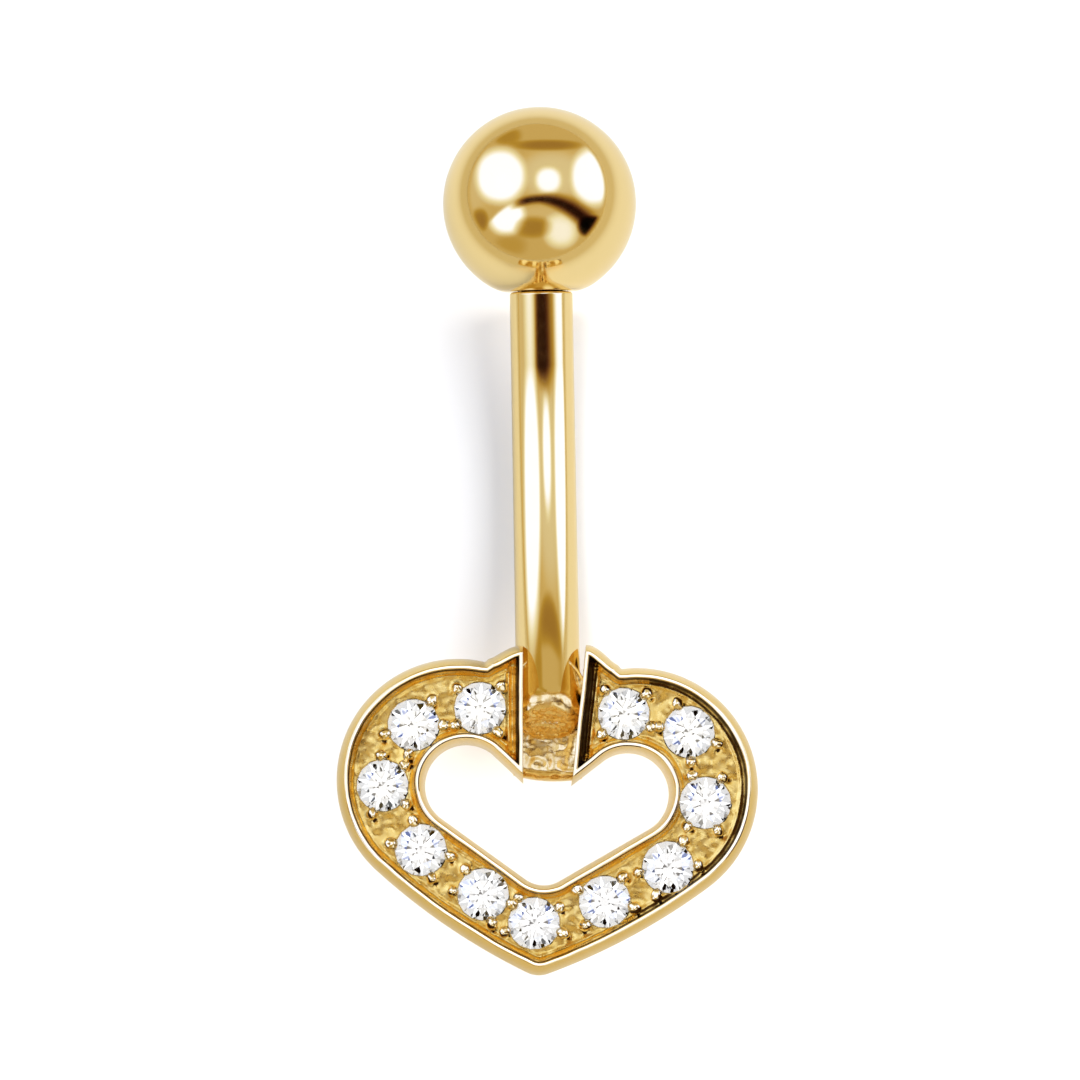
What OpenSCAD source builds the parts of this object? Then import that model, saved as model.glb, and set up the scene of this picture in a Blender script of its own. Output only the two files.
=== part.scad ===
// Navel ring: a curved barbell with a screw-on ball and an open heart set with eleven stones.
// It lies on its back on a surface at z = 0, the ball towards +Y and the heart's tip towards -Y.
// The pieces are drawn in the barbell's own frame first: the ball's centre is the origin,
// +Y points along the threaded pin and +Z out of the heart's face. at_rest() then lays it down.

/* [Ball] */
// Diameter of the screw-on ball
ball_d = 5.0; // [4:0.1:6]
// Diameter of the flat seat round the ball's hole
seat_d = 2.1; // [1.7:0.05:2.4]
// Gap between the ball's flat seat and the bar's shoulder
seat_gap = 0.02; // [0.01:0.01:0.05]

/* [Bar] */
// Diameter of the bar, 14 gauge
bar_d = 1.63; // [1.4:0.01:1.8]
// Straight length of the bar below the ball
bar_straight = 1.9; // [1:0.1:3]
// Radius of the bar's bend, at its centre line
bend_r = 12; // [11:0.5:14]
// Angle that the bar turns through
bend_angle = 42.5; // [38:0.5:45]
// Chamfer round the bar's shoulder
shoulder_chamfer = 0.06; // [0.02:0.01:0.1]

/* [Threaded pin] */
// Outer diameter of the thread
pin_d = 1.2; // [1:0.05:1.3]
// Length of the pin above the shoulder
pin_l = 2.8; // [2:0.1:3.2]
// Distance from one thread ridge to the next
thread_pitch = 0.25; // [0.2:0.05:0.4]
// Depth of the thread
thread_depth = 0.08; // [0.04:0.01:0.12]
// Running clearance round the pin in the ball
pin_clearance = 0.03; // [0.02:0.01:0.06]

/* [Heart] */
// Width across both lobes, at the back
heart_w = 10.65; // [10:0.05:11]
// Height from the tip to the top of the lobes, at the back
heart_h = 7.93; // [7.4:0.01:8.2]
// Radius of each lobe
lobe_r = 3.07; // [2.9:0.01:3.2]
// Radius of the long curve from each lobe to the tip
flank_r = 16.2; // [14:0.1:20]
// Radius of the rounded tip
tip_r = 0.69; // [0.3:0.01:0.9]
// Thickness of the heart
heart_t = 1.9; // [1.5:0.05:2.2]
// How far the outer walls lean in from back to front
wall_draft = 0.21; // [0.1:0.01:0.25]
// How far the opening's walls lean away from it, from back to front
opening_draft = 0.12; // [0.05:0.01:0.2]
// Width of the polished rim round the recess
rim_w = 0.1; // [0.08:0.01:0.2]
// Depth of the recess that holds the stones
recess_depth = 0.4; // [0.3:0.05:0.5]
// Lean of the heart to the right of the bar's line
heart_lean = 3.9; // [0:0.1:6]
// Lean of the heart's face towards the ball
heart_tilt = 4.6; // [0:0.1:8]
// How far the heart sits to the right of the bar's end
heart_shift = 0.11; // [0:0.01:0.2]

/* [Opening] */
// Width of the heart's band at its sides, at the back
band_side = 2.24; // [2.1:0.01:2.4]
// Width of the band over the opening's lobes
band_top = 2.15; // [2:0.01:2.3]
// Height of the opening's pointed foot above the tip, before it is rounded
band_foot = 2.18; // [1.9:0.01:2.3]
// Radius of the opening's lobes
opening_r = 1.04; // [0.9:0.01:1.15]
// Radius of the opening's rounded foot
opening_foot_r = 0.78; // [0.5:0.01:1]
// Drop of the cusp between the opening's lobes below their top
cusp_drop = 1.42; // [1.2:0.01:1.6]

/* [Notch] */
// Width of the notch between the lobes, at its foot
notch_w = 1.16; // [1:0.01:1.4]
// How much wider the notch is at its top
notch_flare = 0.48; // [0:0.02:0.6]
// Rise of the ears above the lobes, on each side of the notch
ear_rise = 0.46; // [0.3:0.01:0.6]
// How much more than that the right ear rises, and the left one less
ear_uneven = 0.05; // [0:0.01:0.1]
// Width of each ear
ear_w = 1.0; // [0.8:0.05:1.2]
// Width of the rim along the notch
notch_rim = 0.1; // [0.08:0.01:0.2]

/* [Bridge and cup] */
// Height of the bridge, from its lower edge to the bar's end
bridge_h = 2.37; // [2.2:0.01:2.5]
// Depth of the bridge's face below the rims
bridge_depth = 1.1; // [0.9:0.05:1.3]
// Rounding of the bridge's lower edge
bridge_round = 0.25; // [0.1:0.05:0.4]
// Distance of the bar's end below the top of the lobes
bar_end_drop = 0.49; // [0.3:0.01:0.6]
// Depth of the bar's end below the rims
bar_end_depth = 1.26; // [1.1:0.02:1.4]
// Diameter of the cup that the bar's end is soldered into
cup_d = 1.95; // [1.9:0.01:2.2]
// Height of the cup above the bridge's face
cup_rise = 0.25; // [0.1:0.05:0.4]
// Distance of the cup's centre below the bar's end
cup_drop = 0.28; // [0.1:0.02:0.4]

/* [Stones] */
// Diameter of each stone
stone_d = 1.3; // [1.2:0.01:1.36]
// Clearance between a stone and its seat
stone_gap = 0.02; // [0.01:0.005:0.03]
// How far each girdle lies below the floor of the recess
girdle_sink = 0.03; // [0:0.01:0.08]
// Diameter of the hole behind each stone
back_hole_d = 0.66; // [0.5:0.02:0.8]
// Diameter of the beads that hold the stones
bead_d = 0.28; // [0.22:0.02:0.34]
// How far each bead's centre lies outside the stone's edge
bead_out = 0.1; // [0.08:0.01:0.14]
// Height of each bead's centre above the floor of the recess
bead_lift = 0.04; // [0:0.01:0.08]

/* [Hidden] */
gold = "goldenrod";
clear = "whitesmoke";
// Facets round a circle, round a bead, and in each step of an outline's curves
round_fn = 96;
bead_fn = 24;
bend_fn = 384;
tip_steps = 3;
flank_steps = 10;
lobe_steps = 26;
opening_steps = 20;
bridge_steps = 5;
// A cut runs past the face that it opens by this much
over = 0.1;

// Columns: share of the heart's half width, share of its height, and the directions from the
// stone's centre to its four beads, in degrees
STONES = [
    [-0.335, 0.841, [142,  48,  -50, -143]],
    [-0.644, 0.777, [ 56,   2,  -97, -159]],
    [-0.775, 0.581, [ 96,  45,  -35, -107]],
    [-0.579, 0.384, [107, 171,   -8,  -66]],
    [-0.276, 0.254, [128, 178,  -17,  -70]],
    [-0.030, 0.171, [124, -161,  35,  -16]],
    [ 0.297, 0.250, [ 57,  -9, -127,  159]],
    [ 0.586, 0.369, [ 62, -167,   6, -110]],
    [ 0.747, 0.578, [ 59, 120, -125,  -63]],
    [ 0.653, 0.799, [115, 173,  -20,  -83]],
    [ 0.343, 0.846, [131,  44,  -23, -135]]
];
// Columns: share of the draft that the outline has moved in, share of the heart's thickness
WALL = [[0.3, 0], [0, 0.05], [0.1, 0.55], [0.5, 0.88], [0.8, 0.97], [1, 1]];
// Columns: share of the ear's width from the notch, share of its rise
EAR = [[0.85, 0.05], [0.71, 0.2], [0.52, 0.5], [0.31, 0.8], [0.11, 0.98], [0, 1]];
// A brilliant cut's sizes, as shares of its diameter
girdle_r = 0.5;
table_r = 0.285;
crown_h = 0.15;
girdle_h = 0.03;
pavilion_h = 0.43;
star_r = 0.405;
lower_r = 0.12;
// Facets round the table, and half the angle of one
table_n = 8;
half_facet = 180 / table_n;
// Turn from each stone to the next, so that no two of them flash alike
stone_turn = 17;
// The edge of the right side that touches the surface, counted from the tip
rest_edge = 3;
// The direction straight down an outline, in degrees
down = -90;
// Direction from a lobe's centre to where its ear begins
lobe_end = 100;
// Direction from an opening lobe's centre to where it turns down to the cusp
opening_end = 125;

ball_r = ball_d / 2;
bar_r = bar_d / 2;
pin_r = pin_d / 2;
stone_r = stone_d / 2;
stone_z = -recess_depth - girdle_sink;
// Distance from the ball's centre to its flat seat
seat_r = sqrt(pow(ball_r, 2) - pow(seat_d / 2, 2));
shoulder_y = -seat_r - seat_gap;
bend_y = shoulder_y - bar_straight;
bar_end = [0, bend_y - bend_r * sin(bend_angle), bend_r * (1 - cos(bend_angle))];

// The heart's outline: the rounded tip, a flank and a lobe, each tangent to the next, and an ear
lobe_c = [heart_w / 2 - lobe_r, heart_h - lobe_r];
flank_c = across(lobe_c, flank_r - lobe_r, [0, 0], flank_r);
flank_end = angle_of(lobe_c - flank_c);
tip_c = [0, flank_c[1] - sqrt(pow(flank_r - tip_r, 2) - pow(flank_c[0], 2))];
tip_end = angle_of(tip_c - flank_c);
notch_top = notch_w / 2 + notch_flare / 2;
outline = closed(heart_side(ear_rise + ear_uneven), heart_side(ear_rise - ear_uneven));

// The opening's outline: a rounded foot, a lobe tangent to its side, and the cusp
open_c = [heart_w / 2 - band_side - opening_r, heart_h - band_top - opening_r];
foot = [0, band_foot];
cusp = [0, heart_h - band_top - cusp_drop];
foot_line = angle_of(open_c - foot) - asin(opening_r / norm(open_c - foot));
foot_end = foot_line + down;
foot_c = [0, band_foot + opening_foot_r / cos(foot_line)];
opening_side = concat(
    [foot_c - [0, opening_foot_r]],
    arc(foot_c, opening_foot_r, down, foot_end, tip_steps),
    [polar(open_c, opening_r, foot_end)],
    arc(open_c, opening_r, foot_end, opening_end, opening_steps),
    [cusp]
);
opening = closed(opening_side, opening_side);
bar_end_v = heart_h - bar_end_drop;
bridge_foot = bar_end_v - bridge_h;

function angle_of(p) = atan2(p[1], p[0]);
function unit(p) = p / norm(p);
function polar(c, r, a) = c + r * [cos(a), sin(a)];
// The points of an arc after its first, so that one arc runs on from another
function arc(c, r, from, to, n) = [for (i = [1:n]) polar(c, r, from + (to - from) * i / n)];
// The point at distance ra from a and rb from b, on the left of the way from a to b
function across(a, ra, b, rb) =
    let (d = norm(b - a), x = (d * d + ra * ra - rb * rb) / (2 * d), e = (b - a) / d)
    a + x * e + sqrt(ra * ra - x * x) * [e[1], -e[0]];
// An outline's right side from the foot up, and its left side, drawn to the right, mirrored
function closed(side, other) = concat(
    side,
    [for (p = backwards(other)) if (p[0] > 0) [-p[0], p[1]]]
);
function backwards(points) = [for (i = [1:len(points)]) points[len(points) - i]];
// One side of the heart's outline, its ear as high as rise above the lobe
function heart_side(rise) = concat(
    [tip_c - [0, tip_r]],
    arc(tip_c, tip_r, down, tip_end, tip_steps),
    arc(flank_c, flank_r, tip_end, flank_end, flank_steps),
    arc(lobe_c, lobe_r, flank_end, lobe_end, lobe_steps),
    [for (e = EAR) [notch_top + e[0] * ear_w, heart_h + e[1] * rise]]
);
// A closed outline moved in by d, or out where d is below zero
function inset(points, d) =
    let (n = len(points))
    [for (i = [0:n - 1])
        let (
            a = unit(points[i] - points[(i + n - 1) % n]),
            b = unit(points[(i + 1) % n] - points[i]),
            m = [-a[1] - b[1], a[0] + b[0]]
        )
        points[i] + 2 * d * m / (m * m)];

// A solid whose outline moves in from row to row; columns of rows: inset, height
module loft(points, rows, centre) {
    n = len(points);
    last = len(rows) - 1;
    function at(k, i) = k * n + i % n;
    polyhedron(
        points = concat(
            [for (r = rows) each [for (p = inset(points, r[0])) [p[0], p[1], r[1]]]],
            [[centre[0], centre[1], rows[0][1]], [centre[0], centre[1], rows[last][1]]]
        ),
        faces = concat(
            [for (k = [0:last - 1], i = [0:n - 1]) [at(k, i), at(k + 1, i), at(k + 1, i + 1)]],
            [for (k = [0:last - 1], i = [0:n - 1]) [at(k, i), at(k + 1, i + 1), at(k, i + 1)]],
            [for (i = [0:n - 1]) [n * (last + 1), at(0, i), at(0, i + 1)]],
            [for (i = [0:n - 1]) [n * (last + 1) + 1, at(last, i + 1), at(last, i)]]
        ),
        convexity = 6
    );
}

module heart_blank() {
    rows = [for (r = WALL) [r[0] * wall_draft, (r[1] - 1) * heart_t]];
    loft(outline, rows, [0, heart_h / 2]);
}

module opening_cut() {
    rows = [for (r = WALL) [-r[0] * opening_draft, (r[1] - 1) * heart_t]];
    last = rows[len(rows) - 1];
    grown = concat([[rows[0][0], rows[0][1] - over]], rows, [[last[0], over]]);
    loft(opening, grown, (foot_c + cusp) / 2);
}

// The slot between the lobes, with side more on each side, from the cusp to past the ears
module notch_cut(side, bottom) {
    low = cusp[1];
    high = heart_h + 2 * ear_rise;
    translate([0, 0, bottom])
        linear_extrude(over - bottom)
            polygon([
                [-notch_w / 2 - side, low], [notch_w / 2 + side, low],
                [notch_top + side, high], [-notch_top - side, high]
            ]);
}

module recess_cut() {
    difference() {
        translate([0, 0, -recess_depth])
            linear_extrude(recess_depth + over)
                difference() {
                    polygon(inset(outline, wall_draft + rim_w));
                    polygon(inset(opening, -opening_draft - rim_w));
                }
        notch_cut(notch_rim, -recess_depth - over);
    }
}

module stone_seat() {
    r = stone_r + stone_gap;
    hole_r = back_hole_d / 2;
    rim_z = girdle_h / 2 * stone_d;
    rotate_extrude($fn = round_fn)
        polygon([
            [0, rim_z + crown_h * stone_d + stone_gap],
            [table_r * stone_d + stone_gap, rim_z + crown_h * stone_d + stone_gap],
            [r, rim_z + stone_gap],
            [r, -rim_z - stone_gap],
            [hole_r, -rim_z - stone_gap - (1 - hole_r / r) * pavilion_h * stone_d],
            [hole_r, -heart_t - over - stone_z],
            [0, -heart_t - over - stone_z]
        ]);
}

module beads() {
    for (s = STONES, a = s[2])
        translate(concat(polar(place(s), stone_r + bead_out, a), [-recess_depth + bead_lift]))
            sphere(d = bead_d, $fn = bead_fn);
}

// The plate that joins the lobes behind the notch, its lower edge rounded
module bridge() {
    half = notch_top + over / 2;
    corner = [bridge_foot + bridge_round, -bridge_depth - bridge_round];
    translate([-half, 0, 0])
        rotate([90, 0, 90])
            linear_extrude(2 * half)
                polygon(concat(
                    [[bar_end_v, -bridge_depth], [bar_end_v, -heart_t], [bridge_foot, -heart_t]],
                    [corner - [bridge_round, 0]],
                    arc(corner, bridge_round, 180, 90, bridge_steps)
                ));
}

module cup() {
    translate([-heart_shift, bar_end_v - cup_drop, -heart_t])
        cylinder(d = cup_d, h = heart_t - bridge_depth + cup_rise, $fn = round_fn);
}

function place(s) = [s[0] * heart_w / 2, s[1] * heart_h];

module heart() {
    difference() {
        union() {
            difference() {
                heart_blank();
                opening_cut();
                notch_cut(0, -heart_t - over);
                recess_cut();
            }
            beads();
            bridge();
            cup();
        }
        for (s = STONES)
            translate(concat(place(s), [stone_z]))
                stone_seat();
    }
}

// The pin's thread, as rings, with a chamfered end
module pin() {
    turns = floor(pin_l / thread_pitch) - 1;
    root = pin_r - thread_depth;
    ridges = [
        for (i = [0:turns - 1])
            each [[root, i * thread_pitch], [pin_r, (i + 0.5) * thread_pitch]]
    ];
    end = [
        [root, turns * thread_pitch], [root, pin_l - thread_depth],
        [root - thread_depth, pin_l], [0, pin_l]
    ];
    rotate([-90, 0, 0])
        rotate_extrude($fn = round_fn)
            polygon(concat([[0, -over], [root, -over]], ridges, end));
}

module bar() {
    translate([0, shoulder_y, 0]) {
        pin();
        rotate([90, 0, 0]) {
            cylinder(r1 = bar_r - shoulder_chamfer, r2 = bar_r, h = shoulder_chamfer, $fn = round_fn);
            translate([0, 0, shoulder_chamfer])
                cylinder(r = bar_r, h = bar_straight - shoulder_chamfer, $fn = round_fn);
        }
    }
    translate([0, bend_y, bend_r])
        rotate([0, 90, 0])
            rotate_extrude(angle = -bend_angle, $fn = bend_fn)
                translate([bend_r, 0])
                    circle(r = bar_r, $fn = round_fn);
    translate(bar_end)
        sphere(r = bar_r, $fn = round_fn);
}

module heart_barbell() {
    color(gold) at_rest() {
        bar();
        on_bar() heart();
    }
}

module ball() {
    color(gold) at_rest()
        difference() {
            sphere(r = ball_r, $fn = round_fn);
            translate([0, -seat_r - ball_r, 0])
                cube(2 * ball_r, center = true);
            rotate([90, 0, 0])
                translate([0, 0, seat_r + seat_gap - pin_l - pin_clearance])
                    cylinder(r = pin_r + pin_clearance, h = pin_l + over, $fn = round_fn);
        }
}

// The corners of a ring of n points, its radius a share of the diameter d
function ring(n, r, d, z, a) = [for (i = [0:n - 1]) concat(polar([0, 0], r * d, a + i * 360 / n), [z])];

// A brilliant cut, its girdle's middle at z = 0: table, stars, kites, girdle and pavilion
module brilliant(d) {
    n = table_n;
    rim = girdle_h / 2 * d;
    top = rim + crown_h * d;
    slope = crown_h / (girdle_r - table_r);
    fall = pavilion_h / girdle_r;
    star_z = top - (star_r * cos(half_facet) - table_r) * slope * d;
    lower_z = -rim - (girdle_r - lower_r * cos(half_facet)) * fall * d;
    // Where each ring begins among the points; the table's ring begins at 0
    star = n;
    upper = star + n;
    under = upper + 2 * n;
    lower = under + 2 * n;
    culet = lower + n;
    table_facet = [for (i = [n - 1:-1:0]) i];
    main_facets = [
        for (i = [0:n - 1])
            let (j = (i + 1) % n)
            each [
                [i, j, star + i],
                [j, star + j, upper + 2 * j, star + i],
                [star + i, upper + 2 * i + 1, upper + 2 * i],
                [star + i, upper + 2 * j, upper + 2 * i + 1],
                [lower + i, under + 2 * i, under + 2 * i + 1],
                [lower + i, under + 2 * i + 1, under + 2 * j],
                [culet, lower + i, under + 2 * j, lower + j]
            ]
    ];
    girdle = [
        for (i = [0:2 * n - 1])
            let (j = (i + 1) % (2 * n))
            [under + i, upper + i, upper + j, under + j]
    ];
    polyhedron(
        points = concat(
            ring(n, table_r, d, top, 0), ring(n, star_r, d, star_z, half_facet),
            ring(2 * n, girdle_r, d, rim, 0), ring(2 * n, girdle_r, d, -rim, 0),
            ring(n, lower_r, d, lower_z, half_facet), [[0, 0, -rim - pavilion_h * d]]
        ),
        faces = concat([table_facet], main_facets, girdle)
    );
}

module stone(i) {
    s = STONES[i];
    color(clear) at_rest() on_bar()
        translate(concat(place(s), [stone_z]))
            rotate([0, 0, i * stone_turn])
                brilliant(stone_d);
}

// From the heart's frame (its tip at the origin, its rims at z = 0) to the bar's
module on_bar() {
    translate(bar_end)
        rotate([0, 0, -heart_lean])
            rotate([-heart_tilt, 0, 0])
                translate([heart_shift, -bar_end_v, bar_end_depth])
                    children();
}
function to_bar(p) =
    let (
        x = p[0] + heart_shift,
        y = p[1] - bar_end_v,
        z = p[2] + bar_end_depth,
        tilted = y * cos(heart_tilt) + z * sin(heart_tilt)
    )
    bar_end + [
        x * cos(heart_lean) + tilted * sin(heart_lean),
        tilted * cos(heart_lean) - x * sin(heart_lean),
        z * cos(heart_tilt) - y * sin(heart_tilt)
    ];

// The ring rests on its ball and on one edge of the heart's back: up is square to that edge,
// and the ball's centre is one radius above the surface
back_rim = [for (p = inset(outline, WALL[0][0] * wall_draft)) to_bar([p[0], p[1], -heart_t])];
edge_a = back_rim[rest_edge];
edge_dir = unit(back_rim[rest_edge + 1] - edge_a);
reach = -edge_a + (edge_a * edge_dir) * edge_dir;
tilt = ball_r / norm(reach);
up = tilt * unit(reach) + sqrt(1 - tilt * tilt) * unit(cross(edge_dir, reach));
along = unit([0, 1, 0] - up[1] * up);
right = cross(along, up);
// The box of what reaches furthest, in the resting frame
body = [
    for (r = WALL, p = inset(outline, r[0] * wall_draft))
        to_bar([p[0], p[1], (r[1] - 1) * heart_t])
];
xs = [for (p = body) p * right];
ys = [for (p = body) p * along];
mid = [
    (min(min(xs), -ball_r) + max(max(xs), ball_r)) / 2,
    (min(min(ys), -ball_r) + max(max(ys), ball_r)) / 2
];

module at_rest() {
    multmatrix([
        [right[0], right[1], right[2], -mid[0]],
        [along[0], along[1], along[2], -mid[1]],
        [up[0], up[1], up[2], ball_r],
        [0, 0, 0, 1]
    ])
        children();
}

ball();
heart_barbell();
stone(0);  // stone_01
stone(1);  // stone_02
stone(2);  // stone_03
stone(3);  // stone_04
stone(4);  // stone_05
stone(5);  // stone_06
stone(6);  // stone_07
stone(7);  // stone_08
stone(8);  // stone_09
stone(9);  // stone_10
stone(10);  // stone_11
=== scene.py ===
"""Looks of a navel ring: a curved gold barbell, its screw-on ball and an open heart with stones.

Sizes are in millimetres. A piece is drawn in the heart's own frame, whose origin is the heart's
tip, with +V up through the lobes and +Z out of the rims, or in the bar's, whose origin is the
ball's centre, with +Y up the threaded pin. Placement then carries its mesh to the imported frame.
"""

from __future__ import annotations

import logging
import math
from dataclasses import dataclass
from enum import Enum
from functools import cached_property

import bpy
import numpy as np
from mathutils import Matrix, Vector, noise
from mathutils.geometry import delaunay_2d_cdt

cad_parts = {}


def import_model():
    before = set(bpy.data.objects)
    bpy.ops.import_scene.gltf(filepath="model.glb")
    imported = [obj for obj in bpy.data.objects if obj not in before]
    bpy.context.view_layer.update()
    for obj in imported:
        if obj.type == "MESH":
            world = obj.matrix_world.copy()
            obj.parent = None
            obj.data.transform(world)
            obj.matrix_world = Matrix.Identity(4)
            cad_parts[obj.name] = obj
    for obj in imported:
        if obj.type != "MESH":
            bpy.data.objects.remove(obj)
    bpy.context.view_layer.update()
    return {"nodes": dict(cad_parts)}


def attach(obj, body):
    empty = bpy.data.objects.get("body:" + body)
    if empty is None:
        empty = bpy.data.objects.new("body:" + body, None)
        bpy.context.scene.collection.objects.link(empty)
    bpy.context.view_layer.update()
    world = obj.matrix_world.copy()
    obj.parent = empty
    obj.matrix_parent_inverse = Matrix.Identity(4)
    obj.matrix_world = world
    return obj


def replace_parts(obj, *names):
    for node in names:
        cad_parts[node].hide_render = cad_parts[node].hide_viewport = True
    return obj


MM = 0.001
log = logging.getLogger("navel_ring")

Points = np.ndarray
Socket = bpy.types.NodeSocket


class Body(Enum):
    """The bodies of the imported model."""

    BARBELL = "barbell"
    BALL = "ball"


class Slot(Enum):
    """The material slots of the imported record."""

    GOLD = "gold"
    STONE = "clear_stone"


class Side(Enum):
    """The runs of edge round the heart's band, in the order in which they follow each other."""

    OUTER = 0
    RIGHT_NOTCH = 1
    OPENING = 2
    LEFT_NOTCH = 3

    @property
    def is_notch(self) -> bool:
        """Whether the run is one side of the notch between the lobes."""
        return self in (Side.RIGHT_NOTCH, Side.LEFT_NOTCH)


# Columns: share of the heart's half width, share of its height, and the directions from the
# stone's centre to its four beads, in degrees
STONES: tuple[tuple[float, float, tuple[int, ...]], ...] = (
    (-0.335, 0.841, (142, 48, -50, -143)),
    (-0.644, 0.777, (56, 2, -97, -159)),
    (-0.775, 0.581, (96, 45, -35, -107)),
    (-0.579, 0.384, (107, 171, -8, -66)),
    (-0.276, 0.254, (128, 178, -17, -70)),
    (-0.030, 0.171, (124, -161, 35, -16)),
    (0.297, 0.250, (57, -9, -127, 159)),
    (0.586, 0.369, (62, -167, 6, -110)),
    (0.747, 0.578, (59, 120, -125, -63)),
    (0.653, 0.799, (115, 173, -20, -83)),
    (0.343, 0.846, (131, 44, -23, -135)),
)
# Columns: share of the ear's width from the notch, share of its rise
EAR: tuple[tuple[float, float], ...] = (
    (0.98, 0.0), (0.85, 0.05), (0.71, 0.2), (0.52, 0.5), (0.31, 0.8), (0.11, 0.98), (0.0, 1.0),
)
# Shares of the wall's height and of the rim's width at which a loop of points lies
WALL_SHARES = (0.05, 0.2, 0.35, 0.5, 0.62, 0.72, 0.8, 0.87, 0.93, 0.97, 0.99)
RIM_SHARES = (0.0, 0.1, 0.25, 0.5, 0.75, 0.9, 1.0)
# Distances from the rims at which a row of the floor's points lies
FLOOR_ROWS = (0.012, 0.03, 0.05, 0.075, 0.1, 0.125, 0.15, 0.175, 0.2, 0.225, 0.25, 0.275, 0.305)
# The tent's tones: its level, and the light that polished gold needs there to look as it does
TONES: tuple[tuple[float, tuple[float, float, float]], ...] = (
    (0.0, (0.0, 0.0, 0.0)), (0.04, (0.044, 0.011, 0.007)), (0.12, (0.13, 0.05, 0.02)),
    (0.28, (0.33, 0.20, 0.06)), (0.42, (0.49, 0.34, 0.075)), (0.50, (0.58, 0.46, 0.23)),
    (0.57, (0.66, 0.55, 0.33)), (0.64, (0.73, 0.70, 0.64)), (0.73, (0.83, 0.85, 0.81)),
    (0.82, (0.94, 1.03, 1.23)), (0.91, (1.06, 1.23, 2.05)), (1.0, (1.15, 1.45, 2.95)),
)


class Number:
    """A number in a node tree; each of the usual operators adds a math node."""

    def __init__(self, graph: Graph, socket: Socket) -> None:
        """Keep the number's graph and socket.

        Args:
            graph: The graph that the number belongs to.
            socket: The output that carries it.
        """
        self.graph = graph
        self.socket = socket

    def __add__(self, other: object) -> Number:
        """Return the sum."""
        return self.graph.math("ADD", self, other)

    def __radd__(self, other: object) -> Number:
        """Return the sum with a plain number."""
        return self.graph.math("ADD", other, self)

    def __sub__(self, other: object) -> Number:
        """Return the difference."""
        return self.graph.math("SUBTRACT", self, other)

    def __rsub__(self, other: object) -> Number:
        """Return a plain number less this one."""
        return self.graph.math("SUBTRACT", other, self)

    def __mul__(self, other: object) -> Number:
        """Return the product."""
        return self.graph.math("MULTIPLY", self, other)

    def __truediv__(self, other: object) -> Number:
        """Return the quotient."""
        return self.graph.math("DIVIDE", self, other)


class Graph:
    """A node tree that is written as expressions: each method adds a node and wires it."""

    def __init__(self, tree: bpy.types.NodeTree) -> None:
        """Keep the tree.

        Args:
            tree: The node tree to add to.
        """
        self.tree = tree

    def put(self, socket: Socket, value: object) -> None:
        """Wire or set one input.

        Args:
            socket: The input.
            value: A number in the tree, another node's output, or a plain value.
        """
        if isinstance(value, Number):
            value = value.socket
        if isinstance(value, bpy.types.NodeSocket):
            self.tree.links.new(value, socket)
        else:
            socket.default_value = value

    def add(self, kind: str, inputs: dict | None = None, **settings: object) -> bpy.types.Node:
        """Add a node.

        Args:
            kind: The node's type name.
            inputs: Input names or indices and their values.
            **settings: Properties of the node.

        Returns:
            The new node.
        """
        node = self.tree.nodes.new(kind)
        for name, value in settings.items():
            setattr(node, name, value)
        for key, value in (inputs or {}).items():
            self.put(node.inputs[key], value)
        return node

    def math(self, operation: str, *values: object, clamp: bool = False) -> Number:
        """Add a math node.

        Args:
            operation: Its operation.
            *values: Its inputs in order.
            clamp: Whether the result stays between 0 and 1.

        Returns:
            Its result.
        """
        node = self.add("ShaderNodeMath", operation=operation, use_clamp=clamp)
        for socket, value in zip(node.inputs, values):
            self.put(socket, value)
        return Number(self, node.outputs[0])

    def vector(self, operation: str, *values: object) -> bpy.types.Node:
        """Add a vector math node.

        Args:
            operation: Its operation.
            *values: Its inputs in order.

        Returns:
            The node.
        """
        return self.add("ShaderNodeVectorMath", dict(enumerate(values)), operation=operation)

    def dot(self, vector: Socket, axis: Vector) -> Number:
        """Add the dot product of a vector and a fixed axis, and return it."""
        return Number(self, self.vector("DOT_PRODUCT", vector, tuple(axis)).outputs["Value"])

    def mix(self, amount: object, low: object, high: object) -> Socket:
        """Mix two colours.

        Args:
            amount: The share of the second colour.
            low: The first colour.
            high: The second.

        Returns:
            The mix.
        """
        node = self.add("ShaderNodeMix", {"Factor": amount}, data_type="RGBA")
        self.put(node.inputs[6], low)
        self.put(node.inputs[7], high)
        return node.outputs[2]

    def ramp(self, value: object, low: float, high: float, to_low: float, to_high: float) -> Number:
        """Add a smooth step from one pair of values to another.

        Args:
            value: What is mapped.
            low: Where the step starts.
            high: Where it ends.
            to_low: The result below the step.
            to_high: The result above it.

        Returns:
            The mapped value.
        """
        node = self.add("ShaderNodeMapRange", interpolation_type="SMOOTHSTEP")
        for socket, number in zip(node.inputs, (value, low, high, to_low, to_high)):
            self.put(socket, number)
        return Number(self, node.outputs[0])


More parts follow.
